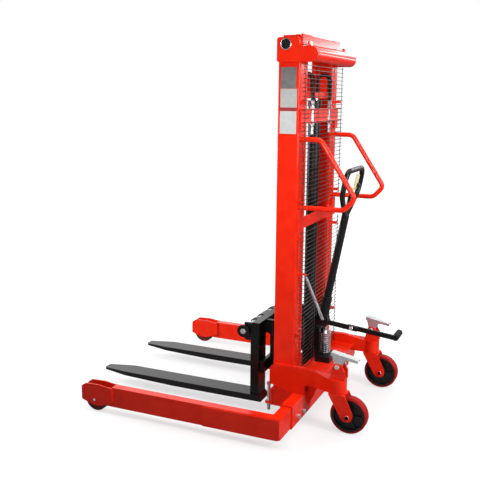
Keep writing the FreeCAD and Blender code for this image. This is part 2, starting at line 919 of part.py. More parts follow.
def clamp_bolt(x):
    tip = V(x, leg_rear_out + clamp_gap, clamp_z)
    face = V(x, socket_rear, clamp_z)
    bolt = rod(clamp_r, tip, face + V(0, clamp_stub, 0))
    return fused([bolt, hexagon(bolt_af, face, face + V(0, nut_h, 0))])


def stop_bolt():
    axis = V(stop_x, stop_y, 0)
    screw = rod(stop_r, axis + V(0, 0, stop_z[0]), axis + V(0, 0, stop_z[1]))
    pieces = [screw]
    for low in (stop_z[1] - nut_h, stop_tab_z[1], stop_tab_z[0] - nut_h):
        pieces.append(hexagon(bolt_af, axis + V(0, 0, low), axis + V(0, 0, low + nut_h)))
    return fused(pieces)


def head_bolt_axis():
    return V((tab_x[0] + tab_x[1]) / 2, 0, (cheek_low_z + 2 * beam_r + tab_top_z) / 2)


def head_bolt_shank():
    axis = head_bolt_axis()
    return rod(head_bolt_r, axis + V(0, tab_y - head_bolt_nose, 0), axis + V(0, tab_y + tab_t + nut_h, 0))


def head_bolt():
    axis = head_bolt_axis()
    rear = tab_y + tab_t
    nut = hexagon(nut_af, axis + V(0, tab_y - nut_h, 0), axis + V(0, tab_y, 0))
    head = hexagon(nut_af, axis + V(0, rear, 0), axis + V(0, rear + head_h, 0))
    return fused([head_bolt_shank(), nut, head])


def frame_bolts():
    bolts = [clamp_bolt(x) for x in clamp_x] + [stop_bolt(), head_bolt()]
    return group(bolts + [mirrored(bolt) for bolt in bolts])


def mast_foot():
    plate_y = (-mast_half + flange_t, socket_rear)
    plate = box((-outer_tip_x, outer_tip_x), plate_y, (foot_z, foot_z + foot_t))
    toe = box((-outer_x, outer_x), (-mast_half - toe_t, -mast_half), toe_z)
    reach = (stop_y - stop_tab_half - toe_room, -mast_half - toe_t)
    tab = box((stop_x - stop_tab_half, stop_x + stop_tab_half), reach, stop_tab_z)
    tab = tab.cut(rod(stop_r, V(stop_x, stop_y, stop_tab_z[0]), V(stop_x, stop_y, stop_tab_z[1])))
    return group([plate, fused([toe, tab, mirrored(tab)])])


def base_side():
    front = side_front_y
    points = [(front, side_front_z[0]), (front, side_front_z[1])]
    points += [(-mast_half + flange_t, side_top_z), (side_knee_y, side_top_z)]
    points += [(castor_y - housing_r - housing_neck, arm_top_z), (castor_y, arm_top_z), (castor_y, arm_low_z)]
    points += [(socket_rear, arm_low_z), (socket_rear, socket_top_z), (side_heel_y, socket_top_z)]
    radii = [side_corner, side_brow, side_shoulder, side_sweep, housing_neck_round]
    side = slab_x(points, radii + [0, 0, side_corner, 0, side_brow], (outer_x, castor_x + housing_r))
    flare_x = castor_x + housing_r - flare_in
    plan = [(outer_x, front), (outer_x, castor_y), (flare_x, castor_y), (flare_x, castor_y - flare_len)]
    plan += [(side_x, flare_y), (side_x, front)]
    band = (socket_top_z, side_top_z + side_t)
    side = side.common(slab_z(plan, [0, 0, 0, flare_len, side_sweep, side_lip], band))
    post = V(castor_x, castor_y, 0)
    housing = rod(housing_r, post + V(0, 0, arm_low_z), post + V(0, 0, arm_top_z))
    bore = rod(king_r + king_fit, post + V(0, 0, arm_low_z), post + V(0, 0, arm_top_z - housing_roof))
    return fused([side, housing]).cut(bore)


def pump_deck():
    plate = box((-outer_x, outer_x), (mast_half + 1, deck_rear), deck_z)
    axis = V(0, cylinder_y, deck_z[0])
    plate = plate.cut(rod(cylinder_r + cylinder_notch, axis, axis + V(0, 0, deck_z[1] - deck_z[0])))
    points = [(socket_rear, gusset_foot_z), (gusset_rear, deck_z[0]), (socket_rear, deck_z[0])]
    gusset = slab_x(points, [0, 0, 0], gusset_x)
    return fused([plate, gusset, mirrored(gusset)])


def castor_yoke():
    top = arm_low_z - slide_gap
    low = top - yoke_plate
    axle_y = castor_y + castor_trail
    crown_y = (castor_y - crown_front, castor_y + crown_rear)
    points = [(crown_y[0], top), (crown_y[1], top), (axle_y + yoke_ear, castor_r + yoke_shoulder)]
    points += [(axle_y + yoke_ear, castor_r - yoke_ear), (axle_y - yoke_ear, castor_r - yoke_ear)]
    radii = [yoke_round, yoke_round, yoke_ear, yoke_tip_round, yoke_tip_round]
    cheek = slab_x(points, radii, (yoke_inner, yoke_inner + yoke_t))
    crown = box((-yoke_inner, yoke_inner), crown_y, (low, top))
    post = rod(king_r, V(0, castor_y, low), V(0, castor_y, arm_top_z - yoke_plate))
    end = yoke_inner + yoke_t
    axle = rod(castor_axle_r, V(-end, axle_y, castor_r), V(end, axle_y, castor_r))
    head = hexagon(nut_af, V(end, axle_y, castor_r), V(end + head_h, axle_y, castor_r))
    yoke = fused([crown, cheek, mirrored(cheek), post, axle, head, mirrored(head)])
    yoke.translate(V(castor_x, 0, 0))
    return yoke


def wheel_profile(inner, outer, half, edge):
    """A wheel or ring about the X axis, with the edges of its rim cut back."""
    points = [V(-half, inner, 0), V(-half, outer - edge, 0), V(edge - half, outer, 0)]
    points += [V(half - edge, outer, 0), V(half, outer - edge, 0), V(half, inner, 0)]
    return Part.Face(Part.makePolygon(points + points[:1])).revolve(V(0, 0, 0), V(1, 0, 0), 360)


def castor_core():
    inner_rim = castor_core_r - core_rim
    boss_r = castor_axle_r + core_hub
    spoke = (boss_r - core_lap, inner_rim + core_lap)
    half = castor_w / 2 - core_inset
    pieces = [wheel_profile(inner_rim, castor_core_r, half, core_edge)]
    pieces.append(wheel_profile(spoke[0], spoke[1], core_web_half, core_edge))
    pieces.append(wheel_profile(castor_axle_r + wheel_fit, boss_r, yoke_inner - hub_clear, core_edge))
    rib_half = half - core_rib_in
    for k in range(core_ribs):
        rib = box((-rib_half, rib_half), spoke, (-core_rib_t / 2, core_rib_t / 2))
        rib.rotate(V(0, 0, 0), V(1, 0, 0), 360 * k / core_ribs)
        pieces.append(rib)
    core = fused(pieces)
    core.translate(V(castor_x, castor_y + castor_trail, castor_r))
    return core


def castor_tread():
    tread = wheel_profile(castor_core_r, castor_r, castor_w / 2, tread_edge)
    tread.translate(V(castor_x, castor_y + castor_trail, castor_r))
    return tread


def brake_bracket():
    depth = (castor_y - housing_r + bracket_front_in, castor_y + housing_r - bracket_rear_in)
    points = [(depth[0], arm_top_z), (depth[1], arm_top_z), (depth[1], brake_z - bracket_shoulder)]
    points += [(brake_y + brake_ear_y, brake_z + brake_ear_z), (brake_y - brake_ear_y, brake_z + brake_ear_z)]
    outside = brake_inner + brake_plate
    radii = [0, 0, bracket_bend, brake_ear_round, brake_ear_round]
    plate = slab_x(points, radii, (brake_inner, outside))
    base = box((-outside, outside), depth, (arm_top_z, arm_top_z + brake_plate))
    end = outside + brake_pin_proud
    pin = rod(brake_pin_r, V(-end, brake_y, brake_z), V(end, brake_y, brake_z))
    bracket = fused([plate, mirrored(plate), base, pin])
    bracket.translate(V(castor_x, 0, 0))
    return bracket


def brake_pedal():
    half = brake_inner - pedal_gap
    inside = half - pedal_t

    def rear(drop):
        return (pedal_rear_y, pedal_rear_z - drop)

    def front(drop):
        return (pedal_front_y, pedal_front_z - drop)

    def off_pin(y, z):
        return (brake_y + y, brake_z + z)

    radii = [pedal_t / 2, pedal_t / 2, pedal_t / 4, pedal_t / 4]
    tread = slab_x([front(0), rear(0), rear(pedal_t), front(pedal_t)], radii, (-half, half))
    points = [front(pedal_lap), rear(pedal_lap), rear(pedal_skirt), off_pin(*pedal_waist_rear)]
    points += [off_pin(pedal_eye, -pedal_eye), off_pin(-pedal_eye, -pedal_eye)]
    points += [off_pin(*pedal_waist_front), front(pedal_skirt)]
    half_radii = [pedal_skirt_round, pedal_waist_round, pedal_eye_round]
    ear = slab_x(points, [0, 0] + half_radii + half_radii[::-1], (inside, half))
    ear = ear.cut(rod(brake_pin_r + pivot_fit, V(inside, brake_y, brake_z), V(half, brake_y, brake_z)))
    pedal = fused([tread, ear, mirrored(ear)])
    pedal.translate(V(castor_x, 0, 0))
    return pedal


def carriage_ear(x):
    block = box(x, (shaft_y, bar_front), (shaft_z - ear_r, shaft_z + ear_r))
    return fused([block, rod(ear_r, V(x[0], shaft_y, shaft_z), V(x[1], shaft_y, shaft_z))])


def carriage_top_bar():
    bar = box((-bar_half, bar_half), (bar_front, bar_rear), bar_z)
    ears = [carriage_ear(ear_x), mirrored(carriage_ear(ear_x)), carriage_ear((-ear_half, ear_half))]
    whole = fused([bar] + ears)
    return whole.cut(rod(shaft_r + shaft_fit, V(-bar_half, shaft_y, shaft_z), V(bar_half, shaft_y, shaft_z)))


def carriage_lower_bar():
    bar = box((-lower_bar_half, lower_bar_half), (shank_y[1] + shank_gap, plate_front), lower_bar_z)
    return bar.makeFillet(lower_bar_round, [e for e in bar.Edges if e.Length > 2 * lower_bar_half - 1])


def carriage_plate():
    points = [(bar_rear, plate_z[1]), (bar_rear, bar_z[0]), (plate_front, bar_z[0])]
    points += [(plate_front, plate_z[0]), (plate_rear, plate_z[0]), (plate_rear, plate_z[1])]
    radii = [plate_corner, 0, plate_inner_round, 0, plate_low_round, plate_top_round]
    pieces = [slab_x(points, radii, plate_x)]
    for z in carriage_roller_z:
        pieces.append(rod(stub_r, V(plate_x[0], 0, z), V(carriage_roller_x[1] - stub_short, 0, z)))
    pieces.append(box((lug_x, plate_x[0]), lug_y, lug_z))
    axis = V(pulley_x, pulley_y - pulley_pitch_r, 0)
    pieces.append(rod(anchor_r, axis + V(0, 0, lug_z[0] - anchor_tail), axis + V(0, 0, chain_front_z)))
    pieces.append(hexagon(nut_af, axis + V(0, 0, lug_z[0] - nut_h), axis + V(0, 0, lug_z[0])))
    return fused(pieces)


def fork_shaft():
    end = bar_half + shaft_proud
    shaft = rod(shaft_r, V(-end, shaft_y, shaft_z), V(end, shaft_y, shaft_z))
    return shaft.makeChamfer(shaft_chamfer, [e for e in shaft.Edges if e.Length < 2 * end])


def fork_blade():
    tip = -reach_front
    top = blade_z[1]
    nose = top - blade_droop
    belly_y = shank_y[0] - blade_belly
    side = [(tip, nose - blade_tip_t), (tip, nose), (tip + blade_taper, top), (shank_y[1], top)]
    side += [(heel_rear, top - heel_drop), (heel_rear, blade_z[0]), (belly_y, blade_z[0])]
    radii = [blade_round, blade_round, blade_sweep, 0, heel_round, blade_round, blade_sweep]
    profile = slab_x(side, radii, blade_x)
    middle = (blade_x[0] + blade_x[1]) / 2
    plan = [(blade_x[0], heel_rear), (blade_x[1], heel_rear), (blade_x[1], tip + blade_taper)]
    plan += [(middle + blade_tip_half, tip), (middle - blade_tip_half, tip), (blade_x[0], tip + blade_taper)]
    radii = [heel_corner, heel_corner, tip_shoulder, tip_round, tip_round, tip_shoulder]
    return profile.common(slab_z(plan, radii, blade_z))


def fork():
    height = (blade_z[0] + shank_foot, shank_top_z)
    outside = (shank_x[1] - shank_side, shank_x[1])
    front = box(shank_x, (shank_y[0], shank_y[0] + shank_plate), height)
    outer = box(outside, shank_y, height)
    inner = box((shank_x[0], shank_x[0] + shank_plate), shank_y, height)
    rungs = [box(shank_x, (shank_y[1] - rung_t, shank_y[1]), (z[0] - rung_t, z[1])) for z in rung_z]
    edge = bar_front - shank_gap
    top = shaft_z + fork_ear_r
    points = [(shaft_y, top), (edge, top), (edge, shank_top_z - fork_ear_low)]
    points += [(shank_y[0], fork_ear_foot_z), (shaft_y, shaft_z - fork_ear_r)]
    ear = slab_x(points, [0, fork_ear_round, 0, fork_ear_sweep, 0], outside)
    eye = rod(fork_ear_r, V(outside[0], shaft_y, shaft_z), V(outside[1], shaft_y, shaft_z))
    bore = rod(shaft_r + shaft_fit, V(shank_x[0], shaft_y, shaft_z), V(shank_x[1], shaft_y, shaft_z))
    return fused([fork_blade(), front, outer, inner, ear, eye] + rungs).cut(bore)


def leg_tube():
    z = (leg_foot_z, leg_foot_z + leg_height)

    def elbow(inset):
        rear = (leg_rear_in + inset, leg_rear_out - inset)
        side = (leg_x[0] + inset, leg_x[1] - inset)
        front = leg_front_y + inset
        points = [(leg_inner_end, rear[0]), (side[0], rear[0]), (side[0], front)]
        return points + [(side[1], front), (side[1], rear[1]), (leg_inner_end, rear[1])]

    bends = [0, leg_elbow_in, leg_nose_round, leg_nose_round, leg_elbow, 0]
    tube = slab_z(elbow(0), bends, z)
    tube = tube.cut(slab_z(elbow(leg_wall), [0] * 6, (z[0] + leg_wall, z[1] - leg_wall)))
    front = leg_front_y
    slope = [(front, z[1]), (front + leg_front_slope, z[1]), (front, z[1] - leg_front_slope)]
    return tube.cut(slab_x(slope, [0, 0, 0], leg_x))


def leg_cheek(x):
    return slab_x([(load_axle_y + y, z) for y, z in leg_cheek_top + leg_cheek_low], leg_cheek_rounds, x)


def leg():
    outer_plate = (leg_x[1], leg_x[1] + cheek_plate_t)
    inner_plate = (leg_x[0] - cheek_plate_t, leg_x[0])
    y = (doubler_front_y, leg_rear_out)
    points = [(y[0], doubler_z[0]), (y[1], doubler_z[0]), (y[1], doubler_z[1]), (y[0], doubler_z[1])]
    doubler = slab_x(points, [doubler_round] * 4, (leg_x[1], leg_x[1] + doubler_t))
    start = V(inner_plate[0], load_axle_y, load_wheel_r)
    axle = rod(load_axle_r, start, V(outer_plate[1], load_axle_y, load_wheel_r))
    return fused([leg_tube(), leg_cheek(outer_plate), leg_cheek(inner_plate), doubler, axle])


def load_wheel():
    half = load_wheel_w / 2
    wheel = wheel_profile(load_axle_r + wheel_fit, load_wheel_r, half, load_edge)
    inner = load_axle_r + load_hub_wall
    groove = wheel_profile(inner, load_wheel_r - load_tread_wall, load_groove, load_groove_edge)
    for side in (-1, 1):
        ring = groove.copy()
        ring.translate(V(side * half, 0, 0))
        wheel = wheel.cut(ring)
    wheel.translate(V((leg_x[0] + leg_x[1]) / 2, load_axle_y, load_wheel_r))
    return wheel


def pump_block():
    top = deck_z[1] + pump_h
    block = box(pump_x, pump_y, (deck_z[1], top))
    block = block.makeFillet(pump_round, [e for e in block.Edges if abs(e.Length - pump_h) < sliver])
    ear_y = (pivot_y - pump_ear_half, pivot_y + pump_ear_half)
    ear_top = pivot_z + pump_ear_half
    points = [(ear_y[0], deck_z[1]), (ear_y[1], deck_z[1]), (ear_y[1], ear_top), (ear_y[0], ear_top)]
    ear = slab_x(points, [0, 0, pump_ear_half - sliver, pump_ear_half - sliver], pump_ear_x)
    barrel = rod(barrel_r, V(0, plunger_y, deck_z[1]), V(0, plunger_y, barrel_top_z))
    end = pump_ear_x[1] + pivot_proud
    pin = rod(pivot_r, V(-end, pivot_y, pivot_z), V(end, pivot_y, pivot_z))
    body = fused([block, ear, mirrored(ear), barrel, pin])
    floor = V(0, plunger_y, deck_z[1] + bore_floor)
    return body.cut(rod(plunger_r + pivot_fit, floor, V(0, plunger_y, barrel_top_z)))


def pump_plunger():
    stem = rod(plunger_r, V(0, plunger_y, barrel_top_z - plunger_sunk), V(0, plunger_y, plunger_top_z))
    cap = rod(cap_r, V(0, plunger_y, cap_z[0]), V(0, plunger_y, cap_z[1]))
    rims = [e for e in cap.Edges if e.Length > 2 * math.pi * cap_r - 1]
    return fused([stem, cap.makeChamfer(cap_edge, rims)])


def pump_spring():
    low = deck_z[1] + pump_h + spring_wire_r + 2 * slide_gap
    high = cap_z[0] - spring_wire_r - 2 * slide_gap
    spring = coil(spring_r, spring_wire_r, (high - low) / spring_turns, spring_turns, 2 * spring_wire_r)
    spring.translate(V(0, plunger_y, low))
    return spring


def tiller_point(x, along, off=0.0):
    """A point in the tiller's plane: sideways, along its axis from the foot, and square to both."""
    up = (tiller_head - tiller_foot).normalize()
    return tiller_foot + up * along + V(x, 0, 0) + up.cross(V(-1, 0, 0)) * off


def rocker():
    hub = rod(hub_r, V(-hub_half, pivot_y, pivot_z), V(hub_half, pivot_y, pivot_z))
    side = hub_half - rocker_side
    body = slab_x([(pivot_y + y, pivot_z + z) for y, z in rocker_outline], rocker_rounds, (-side, side))
    nose_y = pivot_y + nose_arm * math.cos(nose_angle)
    nose_z = pivot_z + nose_arm * math.sin(nose_angle)
    nose_half = nose_r + nose_side
    nose = rod(nose_r, V(-nose_half, nose_y, nose_z), V(nose_half, nose_y, nose_z))
    cup = rod(socket_r, tiller_point(0, -socket_lap), tiller_point(0, socket_len))
    lug_end = V(hub_half + hook_lug_len, hook_lug_y, hook_lug_z)
    lug = rod(hook_lug_r, V(0, hook_lug_y, hook_lug_z), lug_end)
    whole = fused([hub, body, nose, cup, lug])
    bore = rod(tiller_r, tiller_point(0, socket_floor), tiller_point(0, socket_len))
    pivot = rod(pivot_r + pivot_fit, V(-hub_half, pivot_y, pivot_z), V(hub_half, pivot_y, pivot_z))
    return whole.cut(bore).cut(pivot)


def tiller_length():
    return (tiller_head - tiller_foot).Length


def tiller_tube():
    top = tiller_length() - grip_len - socket_floor
    return pipe(tiller_r, tiller_r - tiller_wall, tiller_point(0, socket_floor), tiller_point(0, top))


def tiller_grip():
    top = tiller_length()
    low = top - grip_len
    shoulder = low + grip_len / 2
    points = [tiller_point(0, low), tiller_point(grip_half, shoulder), tiller_point(grip_half, top)]
    points += [tiller_point(-grip_half, top), tiller_point(-grip_half, shoulder)]
    bends = [grip_throat, grip_shoulder_bend, grip_bend, grip_bend, grip_shoulder_bend]
    edges = run_edges(points, bends, True)
    first = edges[0]
    start = first.valueAt(first.FirstParameter)
    ring = Part.Wire(Part.makeCircle(grip_r, start, first.tangentAt(first.FirstParameter)))
    loop = Part.Wire(edges).makePipeShell([ring], True)
    throat = rod(tiller_r, tiller_point(0, low - socket_floor), tiller_point(0, low + throat_in))
    stem_top = top - lever_drop
    stem = rod(lever_stem_r, tiller_point(0, low), tiller_point(0, stem_top))
    pin_half = lever_half + lever_side
    pin = rod(lever_pin_r, tiller_point(-pin_half, stem_top), tiller_point(pin_half, stem_top))
    return fused([loop, throat, stem, pin])


def release_lever():
    foot = tiller_length() - lever_drop
    up = foot + lever_len
    half = lever_half
    under = -lever_t / 2
    thick = tiller_point(0, 0, lever_t) - tiller_point(0, 0)

    def plate(x, low, high, round_r):
        points = [tiller_point(x[0], low, under), tiller_point(x[1], low, under)]
        points += [tiller_point(x[1], high, under), tiller_point(x[0], high, under)]
        return outline_face(points, [0, 0, round_r, round_r]).extrude(thick)

    knob_at = up - knob_in
    knob = rod(lever_knob_r, tiller_point(0, knob_at, -lever_knob_r), tiller_point(0, knob_at, lever_knob_r))
    pieces = [plate((-half, half), foot + lever_foot, up, lever_round), knob]
    for side in (-1, 1):
        arm = sorted((side * lever_fork, side * half))
        pieces.append(rod(lever_pin_r + lever_hub, tiller_point(arm[0], foot), tiller_point(arm[1], foot)))
        pieces.append(plate(arm, foot, foot + lever_fork_lap, 0))
    pin = rod(lever_pin_r + pivot_fit, tiller_point(-half, foot), tiller_point(half, foot))
    return fused(pieces).cut(pin)


def strip_x(start, end, x):
    """A flat bar along a sloping line (Y, Z), between two places on X."""
    half = pedal_bar_h / 2
    points = [(start[0], start[1] - half), (end[0], end[1] - half)]
    points += [(end[0], end[1] + half), (start[0], start[1] + half)]
    radii = [pedal_bar_corner, pedal_bar_end_round, pedal_bar_end_round, pedal_bar_corner]
    return slab_x(points, radii, x)


def pedal_bar():
    slope = (pedal_bar_end[1] - pedal_bar_start[1]) / (pedal_bar_end[0] - pedal_bar_start[0])

    def on_line(y):
        return (y, pedal_bar_start[1] + slope * (y - pedal_bar_start[0]))

    half = pedal_bar_t / 2
    outer = half + pedal_bar_t
    end = (pedal_bar_end[0] + pedal_overrun, pedal_bar_end[1])
    pieces = [strip_x(pedal_bar_start, on_line(pedal_lap_y + pedal_lap_half), (-half, half))]
    pieces.append(strip_x(on_line(pedal_lap_y - pedal_lap_half), end, (-outer, -half)))
    for y in pedal_bolt_y:
        place = V(half, *on_line(y))
        pieces.append(rod(pedal_bolt_r, place, place + V(pedal_bolt_h, 0, 0)))
    place = V(-outer, *pedal_bar_end)
    pieces.append(rod(pad_pin_r, place, place - V(pad_len + pad_pin_proud, 0, 0)))
    return fused(pieces).cut(rocker())


def pedal_pad():
    axis = V(-1.5 * pedal_bar_t, *pedal_bar_end)
    pitch = pad_len / pad_ribs
    pieces = [rod(pad_r - pad_groove, axis, axis - V(pad_len, 0, 0))]
    for k in range(pad_ribs):
        start = axis - V(k * pitch, 0, 0)
        pieces.append(rod(pad_r, start, start - V(pitch * pad_rib_share, 0, 0)))
    return fused(pieces).cut(rod(pad_pin_r, axis, axis - V(pad_len, 0, 0)))


def tiller_spring():
    top = V(post_x, mesh_y + mesh_t + hook_stand, post_z)
    low = V(hub_half + hook_side, hook_lug_y, hook_lug_z)
    reach = (top - low).Length
    pitch = (reach - hook_low_room - hook_top_room) / hook_turns
    spring = coil(hook_r, hook_wire_r, pitch, hook_turns, 2 * hook_wire_r)
    start = low + (top - low) * (hook_low_room / reach)
    spring.Placement = FreeCAD.Placement(start, FreeCAD.Rotation(V(0, 0, 1), top - low))
    return spring


def write_parts():
    """The solids of each sub-part; pieces on the right are mirrored from the left."""
    save("outer_channels", pair(outer_channel()))
    save("head_cheeks", pair(head_cheek()))
    save("head_beam", head_beam())
    save("upper_crossbar", upper_crossbar())
    save("middle_crossbar", middle_crossbar())
    save("chain_anchors", pair(chain_anchor()))
    save("lift_cylinder", lift_cylinder())
    save("mesh_guard", mesh_guard())
    save("mesh_clips", mesh_clips())
    save("leg_socket", leg_socket())
    save("mast_foot", mast_foot())
    save("pump_deck", pump_deck())
    save("frame_bolts", frame_bolts())
    save("pump_block", pump_block())
    save("pump_spring", pump_spring())
    save("tiller_spring", tiller_spring())
    save("inner_channels", pair(inner_channel()))
    save("crosshead", crosshead())
    save("inner_top_bar", inner_top_bar())
    save("inner_foot_bar", inner_foot_bar())
    save("lift_ram", lift_ram())
    save("chain_rear", pair(chain_rear()))
    save("chain_front", pair(chain_front()))
    save("chain_pulleys", pair(chain_pulley()))
    save("head_rollers", pair(head_roller()))
    save("mast_rollers", pair(spun_roller(mast_roller_x, mast_roller_z)))
    save("carriage_rollers_lower", pair(spun_roller(carriage_roller_x, carriage_roller_z[0])))
    save("carriage_rollers_upper", pair(spun_roller(carriage_roller_x, carriage_roller_z[1])))
    save("carriage_top_bar", carriage_top_bar())
    save("carriage_lower_bar", carriage_lower_bar())
    save("carriage_plates", pair(carriage_plate()))
    save("fork_shaft", fork_shaft())
    save("pump_plunger", pump_plunger())
    save("rocker", rocker())
    save("tiller_tube", tiller_tube())
    save("tiller_grip", tiller_grip())
    save("pedal_bar", pedal_bar())
    save("pedal_pad", pedal_pad())
    save("release_lever", release_lever())
    handed = [("base_side", base_side), ("side_handle", side_handle), ("brake_bracket", brake_bracket)]
    handed += [("brake_pedal", brake_pedal), ("castor_yoke", castor_yoke), ("castor_core", castor_core)]
    handed += [("castor_tread", castor_tread), ("fork", fork), ("leg", leg), ("load_wheel", load_wheel)]
    for name, make in handed:
        save(name + "_left", make())
        save(name + "_right", mirrored(make()))


os.makedirs("parts", exist_ok=True)
write_parts()
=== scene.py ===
# %% [markdown]
# This lesson dresses a hand pallet stacker for its photograph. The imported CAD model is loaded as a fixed
# frame: its solids stay where they are and only get finishes. The thin pieces that are too fine for the
# solids are modelled here: guard wires, chain links, spring coils, nuts, caps, the release lever and
# blank plates. All lengths are metres. Most places come from the frame's own boxes and joints, so a piece
# follows its solid if the source changes; the few that were read off the photograph are named values
# beside their piece.

# %% Load the frame
import bpy
import json
import math
from mathutils import Matrix, Vector


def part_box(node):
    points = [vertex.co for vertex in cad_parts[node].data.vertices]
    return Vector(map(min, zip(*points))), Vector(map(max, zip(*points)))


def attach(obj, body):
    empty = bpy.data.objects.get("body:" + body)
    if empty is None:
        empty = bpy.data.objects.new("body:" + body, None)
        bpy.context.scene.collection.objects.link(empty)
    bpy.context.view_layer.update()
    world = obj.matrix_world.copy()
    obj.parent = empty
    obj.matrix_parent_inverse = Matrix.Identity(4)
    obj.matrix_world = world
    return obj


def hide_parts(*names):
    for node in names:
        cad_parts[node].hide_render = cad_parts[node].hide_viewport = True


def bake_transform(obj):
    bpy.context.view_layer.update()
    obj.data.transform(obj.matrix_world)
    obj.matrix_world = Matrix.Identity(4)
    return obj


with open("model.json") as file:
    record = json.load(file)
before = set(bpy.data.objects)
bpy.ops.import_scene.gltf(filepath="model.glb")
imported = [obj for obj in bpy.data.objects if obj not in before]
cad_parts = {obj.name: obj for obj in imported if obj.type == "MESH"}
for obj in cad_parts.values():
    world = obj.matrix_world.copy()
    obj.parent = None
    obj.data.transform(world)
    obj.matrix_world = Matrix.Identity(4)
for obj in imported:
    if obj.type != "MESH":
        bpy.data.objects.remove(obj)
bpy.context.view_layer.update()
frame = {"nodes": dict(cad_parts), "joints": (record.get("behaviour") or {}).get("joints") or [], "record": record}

# %% [markdown]
# Finishes come first, because every piece needs one. Colours are given as sRGB hex codes, but a shader
# works with linear light, so one function converts them. Shader nodes could be placed by hand in the node
# editor; in a script, one function that adds a node with its values and links keeps each material short.


# %% Colour and shader tools
def colour(code):
    """A linear colour from an sRGB hex code."""
    parts = [int(code[i:i + 2], 16) / 255 for i in (1, 3, 5)]
    return [p / 12.92 if p <= 0.04045 else ((p + 0.055) / 1.055) ** 2.4 for p in parts] + [1.0]


def add(material, kind, links=(), **values):
    """Adds a shader node, sets its values and links other nodes' outputs to its inputs."""
    node = material.node_tree.nodes.new(kind)
    for name, value in values.items():
        if name in node.inputs:
            node.inputs[name].default_value = value
        else:
            setattr(node, name, value)
    for source, output, target in links:
        material.node_tree.links.new(source.outputs[output], node.inputs[target])
    return node


# %% [markdown]
# No sprayed, plated or moulded surface is one flat colour. Each finish here wanders between two close
# colours over patches of a real size, given in millimetres. The same noise can lift the surface a little,
# as orange peel does on powder coat or grit on a casting. Those are a millimetre or two wide, too fine to
# show at this distance, so the relief is drawn as coarse as the patches. A Bevel node rounds sharp CAD
# edges in the light alone, so a folded steel edge catches a thin highlight while the frame's mesh stays
# untouched.

# %% A finish
mm_per_m = 1000
patch_detail = 3.0
patch_stops = (0.35, 0.7)
relief_depth = 0.001


def surface(name, base, second, grain_mm, rough, metal=0.0, bump=0.0, edge_mm=0.0, gloss=0.5):
    """A finish of two close colours in patches of grain_mm, with fine relief and softened edges."""
    material = bpy.data.materials.new(name)
    material.use_nodes = True
    material.node_tree.nodes.clear()
    place = add(material, "ShaderNodeTexCoord")
    noise = add(material, "ShaderNodeTexNoise", [(place, "Object", "Vector")],
                Scale=mm_per_m / grain_mm, Detail=patch_detail)
    ramp = add(material, "ShaderNodeValToRGB", [(noise, "Fac", "Fac")])
    for stop, position, code in zip(ramp.color_ramp.elements, patch_stops, (base, second)):
        stop.position = position
        stop.color = colour(code)
    normal = []
    if edge_mm:
        soft_edge = add(material, "ShaderNodeBevel", Radius=edge_mm / mm_per_m)
        normal = [(soft_edge, "Normal", "Normal")]
    if bump:
        relief = add(material, "ShaderNodeBump", [(noise, "Fac", "Height")] + normal,
                     Strength=bump, Distance=relief_depth)
        normal = [(relief, "Normal", "Normal")]
    shader = add(material, "ShaderNodeBsdfPrincipled", [(ramp, "Color", "Base Color")] + normal,
                 **{"Roughness": rough, "Metallic": metal, "Specular IOR Level": gloss})
    add(material, "ShaderNodeOutputMaterial", [(shader, "BSDF", "Surface")])
    return material


# %% [markdown]
# Powder coat covers nearly everything: red on the frame, black on the forks, the carriage and the tiller.
# It is a baked plastic skin, so it isn't metallic, and it shines softly. The studio is very bright, and a
# full plastic gloss would bleach the red, so its specular level is set below the usual half.

# %% Painted finishes
finishes = {
    # Strong warm red with a tight sheen along folded edges and tubes.
    "red_paint": surface("red powder coat", "#e6220a", "#ee2a0f", 60, 0.18, bump=0.015, edge_mm=2.5,
                         gloss=0.22),
    # Satin black that turns grey only where it faces the light, as on top of the forks.
    "black_paint": surface("black powder coat", "#09090a", "#0f0f10", 40, 0.28, bump=0.03, edge_mm=2.0,
                           gloss=0.32),
    # The loop grip is dipped, so its skin is thicker and rounder than sprayed paint.
    "black_grip": surface("black coated grip", "#0a0a0b", "#111113", 25, 0.3, bump=0.04, gloss=0.34),
    # The wire's thin coat lets metal through: dark against white, with a light streak in front of black.
    "mesh_wire": surface("grey coated wire", "#2e2b2a", "#3c3938", 30, 0.3, metal=0.5),
}
print(len(finishes), "painted finishes")

# %% [markdown]
# Bare and plated metal mirrors its surroundings, so most of its look comes from the metallic value and
# the roughness, and the base colour only tints what is mirrored. A metal keeps the shader's own
# refraction index. None of these is fully even: the patches stand for the cloudiness of a plating bath or
# the streaks left by oil.

# %% Metal finishes
finishes.update({
    # Pale grey and a little cloudy, bright at the corners of nuts.
    "zinc_plate": surface("zinc plate", "#cfd1d4", "#dfe1e3", 12, 0.28, metal=0.8, bump=0.03, edge_mm=1.0),
    # Drawn wire, bright on the crown of each turn and dark between the turns.
    "spring_steel": surface("drawn spring wire", "#a4a6aa", "#bcbfc2", 8, 0.3, metal=0.9),
    # Nearly black, with small glints on the plates' edges.
    "oiled_steel": surface("dark oiled steel", "#26272a", "#3c3e41", 15, 0.28, metal=0.85, bump=0.03),
    # A mirror along the ram, which shows only when the mast is raised.
    "hard_chrome": surface("hard chrome", "#c4c7cb", "#d8dbde", 80, 0.12, metal=1.0),
})
print(len(finishes), "finishes with the metals")

# %% [markdown]
# The castors have a polyurethane tread cast on a dark iron core, and the small load wheels a darker one
# that mostly lies in shadow. Rubber is rougher than paint and hardly shines. The lever is a pale moulded
# plastic.

